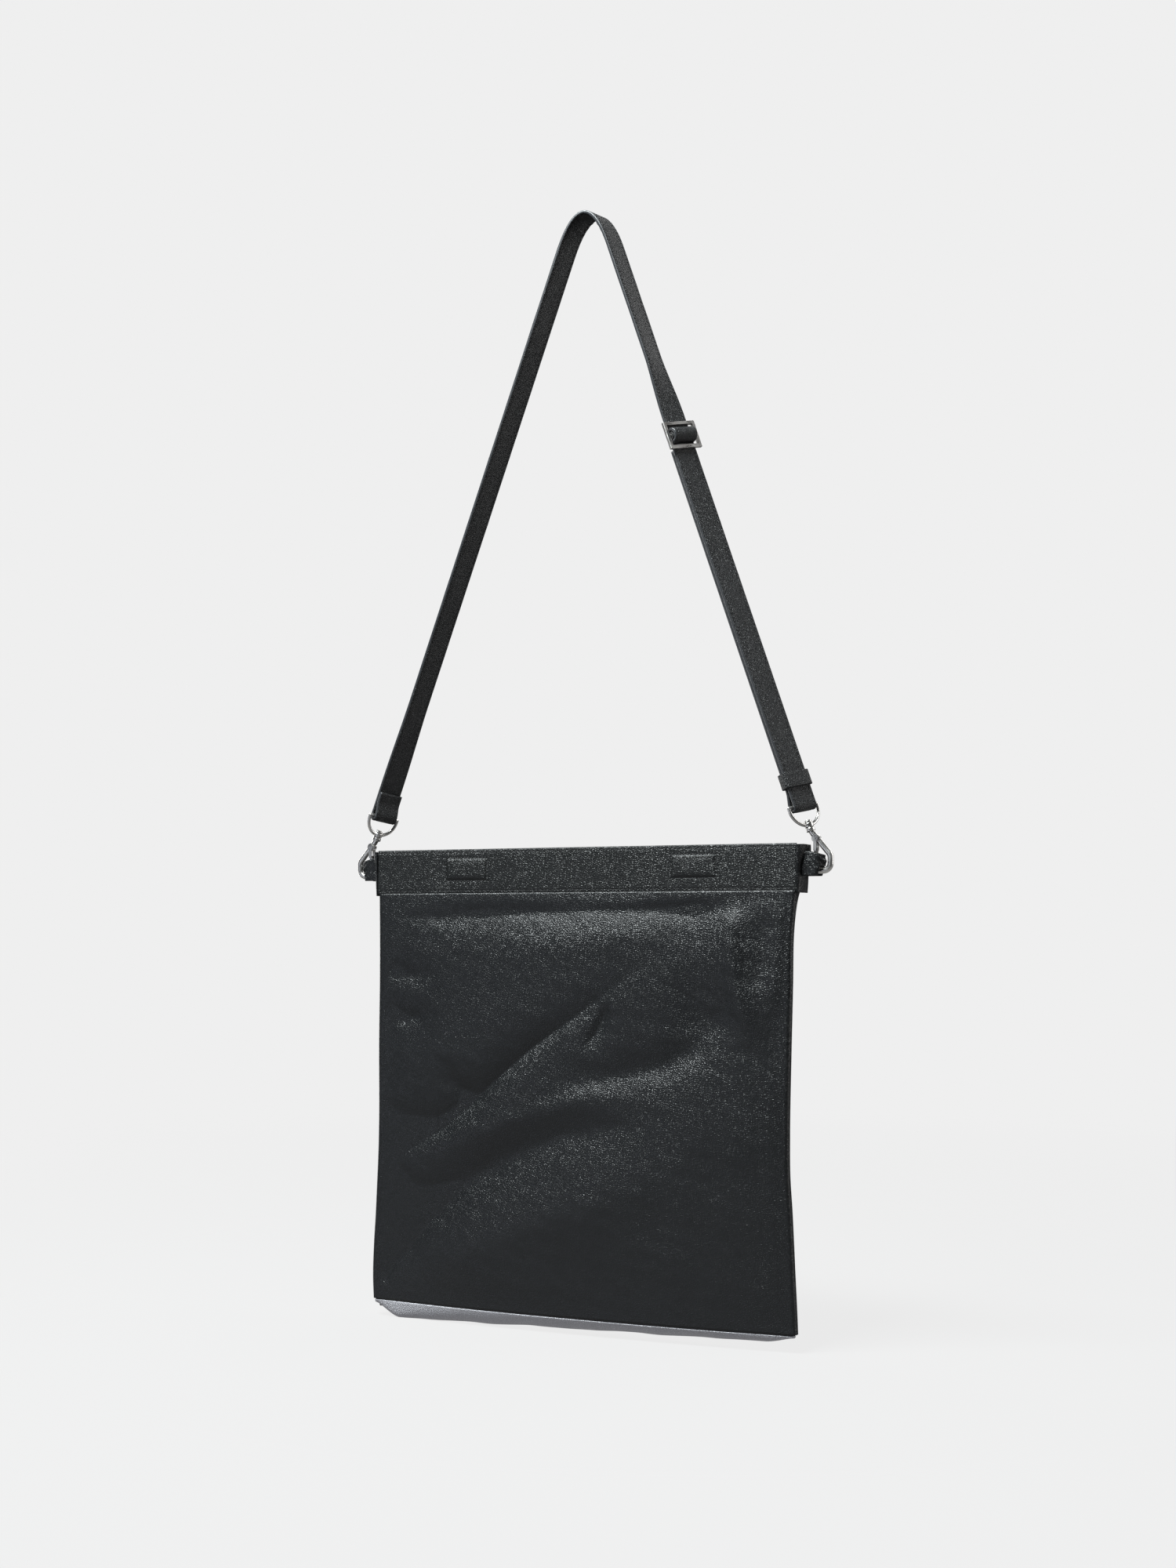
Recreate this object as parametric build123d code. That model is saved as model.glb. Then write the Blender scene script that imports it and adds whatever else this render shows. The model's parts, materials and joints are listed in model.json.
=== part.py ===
from build123d import *
import math
import os

# A soft leather shoulder bag that hangs from its strap.
# Millimetres. +X to the bag's right as its front is looked at, -Y to the front, +Z up.
# Pieces are drawn about the middle of the bag's top edge, then moved so that the origin is the
# inside of the strap's top bend, which is where the bag hangs.

# ---- driving sizes: bag ----
band_length = 397.0        # stiff band along the mouth
band_height = 39.5
band_leather = 2.0         # face leather of a band
facing_leather = 1.6       # leather sewn to the inside of a band
mouth_gap = 17.0           # clear space between the two facings at rest
pocket_rise = 0.7
pocket_x = 108.0           # middle of a pocket from the bag's middle
pocket_z = -17.8
magnet_length = 30.0
magnet_height = 11.0
magnet_thickness = 2.0
magnet_in_face = 1.1       # how far a magnet is let into the face leather
pocket_margin_x = 4.5      # pressed rectangle round each magnet
pocket_margin_z = 3.5
pocket_slope = 0.8         # share of the rise that its edge takes to climb

panel_leather = 1.8
lining_cloth = 0.6
lining_gap = 0.05
seam_allowance = 3.0       # leather caught in each side seam
body_height = 398.0        # top edge to bottom seam
body_top_step = 0.3        # the panels' top stands this far behind the band's face
body_top_inset = 1.0       # insets from the band's length
body_mid_inset = 4.0
body_seam_inset = 1.0
body_shift_x = -2.6        # the body hangs a little to the left below its mouth
body_mid_down = 215.0
seam_share = 0.72          # the side seams hang this share of the way to the front band's face
body_mid_front = 13.0      # how far each panel stands out from the side seams' plane
body_mid_back = 21.0
body_seam_front = 11.5
body_seam_back = 22.0
bilge_inset = 8.0          # the bottom panel sags below its seams
bilge_front = 7.0
bilge_back = 14.0
bilge_drop = 5.5
bilge_tilt_deg = 1.0       # it sags more at the left
keel_inset = 22.0
keel_front = 2.6
keel_back = 7.0
keel_drop = 9.0
keel_tilt_deg = 1.5
piping_radius = 1.4
piping_end_inset = 14.0
piping_gap = 0.15          # between the rolled edge and the panels

gusset_leather = 1.8       # soft fold that closes each end of the mouth
gusset_bulge = 5.6
gusset_foot_half_depth = 1.5
gusset_top_z = -1.0
gusset_inner_share = 0.3   # least share of the fold left open where it is narrow

tab_leather = 2.2          # strip folded round the clasp at each end
tab_hole_half = 6.0
tab_reach = 21.5           # beyond the band's end
tab_top_z = -5.0
tab_height = 22.0
tab_root_gap = 0.4         # beyond the gusset's edge
tab_corner_gap = 0.7       # the clasp's back pulls the outer top corner down to clear it
tab_notch = 7.8            # the fold's lower edge rides up on the hook
tab_notch_side = 0.1
notch_gap = 1.0

# ---- driving sizes: strap ----
strap_width = 23.0
strap_thickness = 3.2
crest_x = 8.3              # where the two runs of the strap would meet
crest_z = 589.2
bend_start = 66.0          # each run ends this far short of that meeting point
bend_pull = 45.0           # length of the bend's end tangents
bend_stations = 12
left_turn_deg = 62.0       # heading of the strap's width from +X, at each end
right_turn_deg = 54.0
left_tail = 22.0           # sewn-back end on the left loop
fold_start = 14.0          # height over the bar where two layers part
fold_end = 3.5             # height over the bar where the inner layer reaches it
fold_radius = 3.0
return_top = 326.0         # top of the strap's returning layer
layer_gap = 0.15

slider_up = 338.0          # middle of the slider from the right bar
slider_side_gap = 2.0      # slider's window beside the strap
slider_height = 25.0
slider_bar = 3.0
slider_edge = 0.35         # chamfer
centre_bar_radius = 1.3
end_loop_thickness = 2.0
end_loop_gap = 0.1
roll_gap = 0.3
end_tail = 40.0            # sewn tail under the slider
slide_gap = 0.3            # running clearance on the strap
keeper_up = 22.5
keeper_height = 13.0
keeper_leather = 1.8
keeper_gap = 0.4

# ---- driving sizes: clasp ----
wire = 3.0                 # loop wire
loop_side_gap = 1.75       # loop's inside beside the strap
loop_straight = 2.25       # straight stretch of each side below the bar
bar_gap = 0.25             # strap to bar
boss_radius = 3.75
boss_half_height = 2.0
boss_round = 0.8
post_radius = 1.6
post_gap = 0.08
head_radius = 3.1
head_height = 2.0
head_round = 0.9
head_gap = 0.2
post_below_boss = 4.0
collar_gap = 0.3
collar_height = 3.2
collar_round = 0.7
hook_radius = 2.5
collar_out = 8.2           # boss's lower end beyond the band's end
hook_length = 35.7         # boss's lower end to the hook's low bend
hook_corners = [(2.7, -5.0), (17.9, -23.0), (17.2, -35.7), (5.5, -35.7), (4.6, -31.2)]
hook_bends = [5.0, 7.0, 6.0, 4.5]
pivot_out = 5.5
pivot_down = 9.0
pivot_lobe = 3.4
pin_radius = 0.8
pin_gap = 0.05
cheek_gap = 0.3
cheek_thickness = 1.0
cheek_radius = 2.6
pin_stand = 0.2            # pin beyond each cheek
gate_thickness = 2.6
gate_half_width = 2.2
gate_shoulder = 8.6        # above the gate's end it widens to its cheeks
gate_tip_out = 0.4         # beyond the middle of the hook's nose
gate_cheek_length = 8.0    # below the pivot the gate is solid from here down
gate_length = 18.8
spring_wire = 0.5
spring_gap = 0.15
spring_end_gap = 0.05
spring_turns = 3
spring_pocket_half = 1.2
spring_pocket_radius = 2.2

# ---- joint clearances ----
band_to_panel = 1.0        # hinge line of each band
band_to_gusset = 0.3

os.makedirs("parts", exist_ok=True)

band_depth = band_leather + facing_leather
band_end = band_length / 2
facing_y = mouth_gap / 2
face_y = facing_y + facing_leather
outer_y = face_y + band_leather
pocket_length = magnet_length + 2 * pocket_margin_x
pocket_height = magnet_height + 2 * pocket_margin_z
seam_y = -seam_share * (outer_y - body_top_step)
body_top_front = outer_y - body_top_step + seam_y
body_top_back = outer_y - body_top_step - seam_y
body_seam_half_width = band_end - body_seam_inset
tab_end_x = band_end + tab_reach
tab_bottom_z = tab_top_z - tab_height
tab_notch_z = tab_bottom_z + tab_notch
gusset_edge_x = band_end + band_to_gusset
layer_n = wire / 2 + bar_gap + strap_thickness / 2      # strap's middle from the bar's middle
return_n = layer_n - strap_thickness - layer_gap
slider_n = layer_n + strap_thickness / 2 + slide_gap + slider_bar / 2
slider_width = strap_width + 2 * slider_side_gap + 2 * slider_bar
end_loop_inner = centre_bar_radius + end_loop_gap
loop_radius = (strap_width + 2 * loop_side_gap + wire) / 2
loop_depth = loop_radius + loop_straight                # bar's middle to the loop's lowest middle
boss_top = loop_depth - boss_half_height
boss_bottom = loop_depth + boss_half_height
collar_x = band_end + collar_out
collar_z = tab_notch_z - notch_gap - hook_radius + hook_length
pivot_x = collar_x + pivot_out
pivot_z = collar_z - pivot_down
gate_solid_top = pivot_z - gate_cheek_length
gate_end_z = pivot_z - gate_length
right, left = 1, -1


# ---- frames ----
def pull_line(side):
    """A loop's bar and the heading from it up to where the runs meet: the line of the pull."""
    collar = Vector(side * collar_x, 0, collar_z)
    up = (Vector(crest_x, 0, crest_z) - collar).normalized()
    return collar + up * boss_bottom, up


def run_frame(side):
    """Frame at a loop's bar: X out of the strap's outer face, Y up the strap, Z along the bar."""
    bar, up = pull_line(side)
    heading = math.radians(right_turn_deg if side == right else left_turn_deg)
    across = Vector(math.cos(heading), math.sin(heading), 0)
    across = (across - up * across.dot(up)).normalized()
    return Plane(origin=bar, x_dir=up.cross(across * -side), z_dir=across * -side)


def clasp_frame(side):
    """Frame at a loop's bar: Z down the clasp towards the hook, Y to the bag's back."""
    bar, up = pull_line(side)
    return Plane(origin=bar, x_dir=up.cross(Vector(0, 1, 0)), z_dir=up * -1)


def loop_frame(side):
    """Frame at a loop's bar: X along the bar, Z down the clasp."""
    frame = run_frame(side)
    return Plane(origin=frame.origin, x_dir=frame.z_dir, z_dir=frame.y_dir * -1)


# ---- bag ----
def lens(z, half_width, front, back, middle_x=body_shift_x, tilt_deg=0.0):
    """Level outline of the bag: two arcs that meet at the side seams."""
    near = ThreePointArc((-half_width, seam_y), (0, seam_y - front), (half_width, seam_y))
    far = ThreePointArc((half_width, seam_y), (0, seam_y + back), (-half_width, seam_y))
    return Pos(middle_x, 0, z) * Rot(0, -tilt_deg, 0) * make_face([near, far])


def hull(inset_x, inset_y, over=0.0):
    """The bag's whole shape, set in from the outside, with its top raised by over."""
    top_z = -band_height - band_to_panel
    keel_half_width = body_seam_half_width - keel_inset - inset_x
    levels = [
        lens(top_z + over, band_end - body_top_inset - inset_x,
             body_top_front - inset_y, body_top_back - inset_y, middle_x=0),
        lens(-body_mid_down, band_end - body_mid_inset - inset_x,
             body_mid_front - inset_y, body_mid_back - inset_y),
        lens(-body_height, body_seam_half_width - inset_x,
             body_seam_front - inset_y, body_seam_back - inset_y),
        lens(-body_height - bilge_drop + inset_y / 2, body_seam_half_width - bilge_inset - inset_x,
             bilge_front - inset_y, bilge_back - inset_y, tilt_deg=bilge_tilt_deg),
        lens(-body_height - keel_drop + inset_y, keel_half_width,
             keel_front - inset_y, keel_back - inset_y, tilt_deg=keel_tilt_deg),
    ]
    return loft(levels, ruled=True)


def half_space(y_side=0, z_side=0, z_level=0.0):
    """A block that keeps one side of the side seams' plane, or of a level."""
    size = 2000.0
    return Pos(0, seam_y + y_side * size / 2, z_level + z_side * size / 2) * Box(size, size, size)


def body_pieces():
    leather = hull(0, 0) - hull(seam_allowance, panel_leather, over=1.0)
    walls = leather & half_space(z_side=1, z_level=-body_height)
    front = walls & half_space(y_side=-1)
    back = walls & half_space(y_side=1)
    bottom = leather & half_space(z_side=-1, z_level=-body_height)
    side_inset = seam_allowance + lining_gap
    wall_inset = panel_leather + lining_gap
    lining = hull(side_inset, wall_inset)
    lining -= hull(side_inset + lining_cloth, wall_inset + lining_cloth, over=1.0)
    return front, back, bottom, lining


def piping(y_side, depth):
    """Rolled edge along one bottom seam: its path is the seam's arc, moved out by the roll."""
    seam_arc_radius = (body_seam_half_width**2 + depth**2) / (2 * depth)
    radius = seam_arc_radius + piping_gap + piping_radius
    half_angle = math.asin((body_seam_half_width - piping_end_inset) / seam_arc_radius)
    points = []
    for turn in (-half_angle, 0, half_angle):
        out = depth - seam_arc_radius + radius * math.cos(turn)
        points.append((body_shift_x + radius * math.sin(turn), seam_y + y_side * out, -body_height))
    path = ThreePointArc(*points)
    start = Plane(origin=path @ 0, z_dir=path % 0)
    return sweep(start * Circle(piping_radius), path=path)


def gusset_face(z, middle_y, half_depth, bulge, inside):
    """Level slice of an end gusset, or of everything inside its outer face."""
    edge_x = gusset_edge_x
    outer = ThreePointArc((edge_x, -half_depth), (edge_x + bulge, 0), (edge_x, half_depth))
    if inside:
        rest = [Line((edge_x, half_depth), (edge_x, -half_depth))]
        return Pos(0, middle_y, z) * make_face([outer] + rest)
    inner_depth = max(half_depth - gusset_leather, half_depth * gusset_inner_share)
    inner_bulge = max(bulge - gusset_leather, bulge * gusset_inner_share)
    rest = [
        Line((edge_x, half_depth), (edge_x, inner_depth)),
        ThreePointArc((edge_x, inner_depth), (edge_x + inner_bulge, 0), (edge_x, -inner_depth)),
        Line((edge_x, -inner_depth), (edge_x, -half_depth)),
    ]
    return Pos(0, middle_y, z) * make_face([outer] + rest)


def gusset(inside=False):
    """Fold that closes an end of the mouth and narrows to the side seam (right end)."""
    top = gusset_face(gusset_top_z, 0, outer_y, gusset_bulge, inside)
    foot_z = -band_height - band_to_panel
    foot = gusset_face(foot_z, seam_y, gusset_foot_half_depth, gusset_foot_half_depth, inside)
    return loft([foot, top], ruled=True)


def tab_corner_z():
    """Height of the tab's outer top corner: the hook's back passes it at tab_corner_gap."""
    (out_1, up_1), (out_2, up_2) = hook_corners[0], hook_corners[1]
    fall = (up_2 - up_1) / (out_2 - out_1)
    back_z = collar_z + up_1 + fall * (tab_end_x - collar_x - out_1)
    return back_z - (hook_radius + tab_corner_gap) * math.hypot(1, fall)


def tab():
    """Strip folded double round an upright axis, with room for the hook below its fold (right end)."""
    outer = tab_hole_half + tab_leather
    bend_x = tab_end_x - outer
    root_x = gusset_edge_x + tab_root_gap
    height = tab_height
    middle_z = (tab_top_z + tab_bottom_z) / 2
    middle_x = (root_x + bend_x) / 2
    strip = Pos(middle_x, 0, middle_z) * Box(bend_x - root_x, 2 * outer, height)
    strip += Pos(bend_x, 0, middle_z) * Cylinder(outer, height)
    hole = Pos(middle_x, 0, middle_z) * Box(bend_x - root_x, 2 * tab_hole_half, height)
    hole += Pos(bend_x, 0, middle_z) * Cylinder(tab_hole_half, height)
    strip -= hole
    notch_z = (tab_notch_z + tab_bottom_z) / 2
    notch_width = 2 * (tab_hole_half - tab_notch_side)
    notch = Pos(tab_end_x, 0, notch_z) * Box(2 * outer, notch_width, tab_notch)
    strip -= notch
    corner = make_face(Polyline((root_x, tab_top_z), (tab_end_x, tab_corner_z()),
                                (tab_end_x, tab_top_z), close=True))
    strip -= extrude(Plane.XZ * corner, amount=2 * outer, both=True)
    return strip - gusset(inside=True)


def band_plates():
    """Face leather, facing and two magnets of the front band, as drawn on the front side."""
    face_mid = -(face_y + band_leather / 2)
    facing_mid = -(facing_y + facing_leather / 2)
    middle_z = -band_height / 2
    face = Pos(0, face_mid, middle_z) * Box(band_length, band_leather, band_height)
    facing = Pos(0, facing_mid, middle_z) * Box(band_length, facing_leather, band_height)
    magnets = []
    for side in (left, right):
        pad = Box(pocket_length, pocket_rise, pocket_height)
        pad = chamfer(pad.faces().sort_by(Axis.Y)[0].edges(), pocket_rise * pocket_slope)
        face += Pos(side * pocket_x, -outer_y - pocket_rise / 2, pocket_z) * pad
        magnet_mid = -face_y - magnet_in_face + magnet_thickness / 2
        magnet = Box(magnet_length, magnet_thickness, magnet_height)
        magnets.append(Pos(side * pocket_x, magnet_mid, pocket_z) * magnet)
    for magnet in magnets:
        face -= magnet
        facing -= magnet
    return face, facing, Compound(children=magnets)


# ---- strap ----
def strip_along(path, width, thickness):
    """A strip whose middle follows a flat path drawn in a run frame."""
    start = Plane(origin=path @ 0, x_dir=(0, 0, 1), z_dir=path % 0)
    return sweep(start * Rectangle(width, thickness), path=path)


def run_length(side):
    bar, _ = pull_line(side)
    return (Vector(crest_x, 0, crest_z) - bar).length - bend_start


def run_with_fold(side):
    """One run of the strap: its inner layer, its fold round the bar, and its outer layer."""
    top = left_tail if side == left else return_top
    inner = FilletPolyline((return_n, top), (return_n, fold_start), (-layer_n, fold_end),
                           (-layer_n, 0), radius=fold_radius)
    fold = ThreePointArc((-layer_n, 0), (0, -layer_n), (layer_n, 0))
    outer = Line((layer_n, 0), (layer_n, run_length(side)))
    path = Wire([*inner.edges(), fold, outer])
    return run_frame(side) * strip_along(path, strap_width, strap_thickness)


def run_end(side):
    """Where a run ends below the bend, and the headings of its length and width there."""
    frame = run_frame(side)
    point = frame.from_local_coords(Vector(layer_n, run_length(side), 0))
    return point, frame.y_dir, frame.z_dir * -side


def bend_point(share):
    """Point and heading on the bend, a cubic curve that leaves both runs along their length."""
    first, up_left, _ = run_end(left)
    last, up_right, _ = run_end(right)
    second = first + up_left * bend_pull
    third = last + up_right * bend_pull
    rest = 1 - share
    point = first * rest**3 + second * (3 * rest**2 * share)
    point += third * (3 * rest * share**2) + last * share**3
    heading = (second - first) * rest**2 + (third - second) * (2 * rest * share)
    heading += (last - third) * share**2
    return point, heading.normalized()


def bend():
    """Top bend: sections that turn smoothly from the left run's width to the right run's."""
    _, _, width_left = run_end(left)
    _, _, width_right = run_end(right)
    sections = []
    for index in range(bend_stations + 1):
        share = index / bend_stations
        point, heading = bend_point(share)
        across = width_left * (1 - share) + width_right * share
        across = (across - heading * across.dot(heading)).normalized()
        section = Plane(origin=point, x_dir=across, z_dir=heading)
        sections.append(section * Rectangle(strap_width, strap_thickness))
    return loft(sections, ruled=True)


def hang_point():
    point, _ = bend_point(0.5)
    return point - Vector(0, 0, strap_thickness / 2)


# ---- slider and keeper, drawn in the right run's frame ----
def slider():
    """Flat frame with a round centre bar; its inside opening follows the strap's width."""
    window_width = slider_width - 2 * slider_bar
    window_height = slider_height - 2 * slider_bar
    frame = Box(slider_bar, slider_height, slider_width)
    frame = chamfer(frame.edges(), slider_edge)
    frame -= Box(slider_bar, window_height, window_width)
    frame += Cylinder(centre_bar_radius, window_width + slider_bar)
    return Pos(slider_n, slider_up, 0) * frame


def wrap(inner_radius, thickness, foot):
    """Strip bent over the centre bar, with straight feet down towards the strap."""
    outer_radius = inner_radius + thickness
    ring = Cylinder(outer_radius, strap_width) - Cylinder(inner_radius, strap_width)
    ring &= Pos(outer_radius, 0, 0) * Box(2 * outer_radius, 2 * outer_radius, strap_width)
    for way in (1, -1):
        middle = way * (inner_radius + thickness / 2)
        ring += Pos(-foot / 2, middle, 0) * Box(foot, thickness, strap_width)
    return Pos(slider_n, slider_up, 0) * ring


def end_loop():
    """The strap's sewn end, closed round the centre bar."""
    outer = end_loop_inner + end_loop_thickness
    ring = Cylinder(outer, strap_width) - Cylinder(end_loop_inner, strap_width)
    ring &= Pos(outer - slider_bar / 2, 0, 0) * Box(2 * outer, 2 * outer, strap_width)
    return Pos(slider_n, slider_up, 0) * ring


def sewn_tail():
    """Thinned end of the strap, sewn to the back of the returning layer."""
    n = return_n - strap_thickness / 2 - end_loop_thickness / 2
    middle = return_top - end_tail / 2
    return Pos(n, middle, 0) * Box(end_loop_thickness, end_tail, strap_width)


def keeper():
    """Leather loop round the strap's two layers."""
    outer_face = layer_n + strap_thickness / 2
    inner_face = return_n - strap_thickness / 2
    depth = outer_face - inner_face + 2 * keeper_gap
    width = strap_width + 2 * keeper_gap
    loop = Box(depth + 2 * keeper_leather, keeper_height, width + 2 * keeper_leather)
    loop = fillet(loop.edges().filter_by(Axis.Y), keeper_leather)
    loop -= Box(depth, keeper_height, width)
    return Pos((outer_face + inner_face) / 2, keeper_up, 0) * loop


# ---- clasp ----
def d_loop():
    """Wire loop with a straight bar and a drilled boss for the swivel (loop frame)."""
    radius = loop_radius
    side_path = Line((-radius, 0, 0), (-radius, 0, loop_straight))
    low = ThreePointArc((-radius, 0, loop_straight), (0, 0, loop_depth), (radius, 0, loop_straight))
    other = Line((radius, 0, loop_straight), (radius, 0, 0))
    path = Wire([side_path, low, other])
    start = Plane(origin=path @ 0, z_dir=path % 0)
    ring = sweep(start * Circle(wire / 2), path=path)
    ring += Rot(0, 90, 0) * Cylinder(wire / 2, 2 * radius)
    for end in (-radius, radius):
        ring += Pos(end, 0, 0) * Sphere(wire / 2)
    boss = Cylinder(boss_radius, 2 * boss_half_height)
    boss = fillet(boss.edges().filter_by(GeomType.CIRCLE), boss_round)
    ring += Pos(0, 0, loop_depth) * boss
    return ring - Pos(0, 0, loop_depth) * Cylinder(post_radius + post_gap, 6 * boss_half_height)


def rivet():
    """Swivel post with its head inside the loop (clasp frame)."""
    head_bottom = boss_top - head_gap
    head = Cylinder(head_radius, head_height)
    head = fillet(head.edges().sort_by(Axis.Z)[0], head_round)
    head = Pos(0, 0, head_bottom - head_height / 2) * head
    length = boss_bottom + post_below_boss - head_bottom
    return head + Pos(0, 0, head_bottom + length / 2) * Cylinder(post_radius, length)


def hook_collar():
    """Turned head of the hook under the boss (clasp frame)."""
    middle = boss_bottom + collar_gap + collar_height / 2
    collar = Cylinder(boss_radius, collar_height)
    return Pos(0, 0, middle) * fillet(collar.edges().filter_by(GeomType.CIRCLE), collar_round)


def hook(side):
    """Swivel hook (bag frame): collar, curved back, low bend and nose, with a lobe for the gate."""
    frame = clasp_frame(side)
    start = frame.from_local_coords(Vector(0, 0, boss_bottom + collar_gap + collar_height / 2))
    points = [(start.X, 0, start.Z)]
    points += [(side * (collar_x + out), 0, collar_z + up) for out, up in hook_corners]
    path = FilletPolyline(*points, radius=hook_bends)
    section = Plane(origin=path @ 0, z_dir=path % 0) * Circle(hook_radius)
    body = sweep(section, path=path)
    body += Pos(*(path @ 1)) * Sphere(hook_radius)
    body += frame * hook_collar()
    pivot = Pos(side * pivot_x, 0, pivot_z) * Rot(90, 0, 0)
    body += pivot * Cylinder(pivot_lobe, 2 * hook_radius)
    body -= pivot * Cylinder(pin_radius, 4 * hook_radius)
    body -= pivot * Cylinder(spring_pocket_radius, 2 * spring_pocket_half)
    return body - frame * rivet()


def gate_pin(side):
    length = 2 * (hook_radius + cheek_gap + cheek_thickness + pin_stand)
    return Pos(side * pivot_x, 0, pivot_z) * Rot(90, 0, 0) * Cylinder(pin_radius, length)


def gate(side):
    """Sprung gate: two cheeks either side of the hook and a solid lower end."""
    tip_x = collar_x + hook_corners[-1][0] + gate_tip_out
    half = gate_thickness / 2
    cheek_outer = hook_radius + cheek_gap + cheek_thickness
    lower = make_face(Polyline((tip_x - half, gate_end_z), (tip_x + half, gate_end_z),
                               (pivot_x + half, pivot_z), (pivot_x - half, pivot_z), close=True))
    level = Pos(pivot_x, pivot_z) * Circle(cheek_radius)
    plate = extrude(Plane.XZ * (lower + level), amount=cheek_outer, both=True)
    between = hook_radius + cheek_gap
    gap_height = pivot_z + 2 * cheek_radius - gate_solid_top
    gap = Box(8 * cheek_radius, 2 * between, gap_height)
    plate -= Pos(pivot_x, 0, gate_solid_top + gap_height / 2) * gap
    narrow = Box(8 * cheek_radius, cheek_outer, 2 * gate_shoulder)
    for way in (1, -1):
        trim_y = way * (gate_half_width + cheek_outer / 2)
        plate -= Pos(pivot_x, trim_y, gate_end_z) * narrow
    plate -= Pos(pivot_x, 0, pivot_z) * Rot(90, 0, 0) * Cylinder(pin_radius + pin_gap, 4 * cheek_outer)
    return plate if side == right else mirror(plate, about=Plane.YZ)


def gate_spring(side):
    """Small coil round the gate's pin, in the hook's pocket."""
    radius = pin_radius + spring_wire / 2 + spring_gap
    height = 2 * (spring_pocket_half - spring_end_gap) - spring_wire
    coil = Helix(pitch=height / spring_turns, height=height, radius=radius)
    start = Plane(origin=coil @ 0, z_dir=coil % 0)
    turns = sweep(start * Circle(spring_wire / 2), path=coil, is_frenet=True)
    return Pos(side * pivot_x, 0, pivot_z) * Rot(90, 0, 0) * Pos(0, 0, -height / 2) * turns


# ---- assembly ----
to_origin = Pos(*(hang_point() * -1))
pieces = {}

pieces["front_panel"], pieces["back_panel"], pieces["bottom_panel"], pieces["lining"] = body_pieces()
pieces["bottom_piping"] = Compound(children=[piping(-1, body_seam_front), piping(1, body_seam_back)])

front_face, front_facing, front_magnets = band_plates()
pieces["front_band"] = front_face
pieces["front_band_facing"] = front_facing
pieces["front_magnets"] = front_magnets
pieces["back_band"] = mirror(front_face, about=Plane.XZ)
pieces["back_band_facing"] = mirror(front_facing, about=Plane.XZ)
pieces["back_magnets"] = mirror(front_magnets, about=Plane.XZ)

for name, side in (("left", left), ("right", right)):
    end_gusset = gusset()
    end_tab = tab()
    if side == left:
        end_gusset = mirror(end_gusset, about=Plane.YZ)
        end_tab = mirror(end_tab, about=Plane.YZ)
    pieces[name + "_end_gusset"] = end_gusset
    pieces[name + "_tab"] = end_tab
    pieces[name + "_d_loop"] = loop_frame(side) * d_loop()
    pieces[name + "_swivel_rivet"] = clasp_frame(side) * rivet()
    pieces[name + "_hook"] = hook(side)
    pieces[name + "_gate_pin"] = gate_pin(side)
    pieces[name + "_gate"] = gate(side)
    pieces[name + "_gate_spring"] = gate_spring(side)

pieces["strap"] = run_with_fold(left) + bend() + run_with_fold(right)
run = run_frame(right)
roll_inner = end_loop_inner + end_loop_thickness + roll_gap
roll_foot = slider_bar / 2
pieces["strap_roll"] = run * wrap(roll_inner, strap_thickness, roll_foot)
pieces["strap_end_loop"] = run * end_loop()
pieces["strap_sewn_tail"] = run * sewn_tail()
pieces["slider"] = run * slider()
pieces["keeper"] = run * keeper()

for name, piece in pieces.items():
    export_step(to_origin * piece, f"parts/{name}.step")

print("hang point in the bag's own frame", hang_point())
for side in (left, right):
    frame = run_frame(side)
    print("side", side, "bar", to_origin * Pos(*frame.origin), "up", frame.y_dir, "bar axis", frame.z_dir)
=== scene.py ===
import json
import math
import bmesh
import bpy
import numpy as np
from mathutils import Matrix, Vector


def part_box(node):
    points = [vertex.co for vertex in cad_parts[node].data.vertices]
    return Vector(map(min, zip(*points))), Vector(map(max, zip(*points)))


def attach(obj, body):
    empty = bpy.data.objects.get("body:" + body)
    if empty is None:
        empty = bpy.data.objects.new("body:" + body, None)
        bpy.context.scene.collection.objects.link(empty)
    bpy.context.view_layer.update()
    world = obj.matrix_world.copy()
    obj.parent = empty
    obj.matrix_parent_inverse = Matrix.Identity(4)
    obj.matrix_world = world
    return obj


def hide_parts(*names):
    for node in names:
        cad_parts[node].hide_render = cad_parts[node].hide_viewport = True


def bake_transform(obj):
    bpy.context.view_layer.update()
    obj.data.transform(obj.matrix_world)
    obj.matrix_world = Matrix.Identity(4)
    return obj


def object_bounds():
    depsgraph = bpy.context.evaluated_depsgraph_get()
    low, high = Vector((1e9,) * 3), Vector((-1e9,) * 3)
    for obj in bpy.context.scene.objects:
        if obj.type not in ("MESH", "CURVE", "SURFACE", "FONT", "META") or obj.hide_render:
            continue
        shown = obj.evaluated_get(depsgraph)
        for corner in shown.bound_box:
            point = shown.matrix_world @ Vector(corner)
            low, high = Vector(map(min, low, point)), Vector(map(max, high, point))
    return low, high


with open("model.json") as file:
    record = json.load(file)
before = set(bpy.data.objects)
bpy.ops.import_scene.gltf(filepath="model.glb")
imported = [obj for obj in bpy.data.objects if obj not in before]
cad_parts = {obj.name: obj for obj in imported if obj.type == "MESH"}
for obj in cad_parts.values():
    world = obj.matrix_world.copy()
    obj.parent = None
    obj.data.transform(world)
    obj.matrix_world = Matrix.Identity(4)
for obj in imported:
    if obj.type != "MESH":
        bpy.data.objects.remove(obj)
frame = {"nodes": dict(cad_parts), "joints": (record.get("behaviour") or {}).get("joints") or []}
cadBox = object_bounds()
print("frame loaded:", len(frame["nodes"]), "nodes")

mm = 0.001
joints = {joint["name"]: joint for joint in frame["joints"]}


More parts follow.
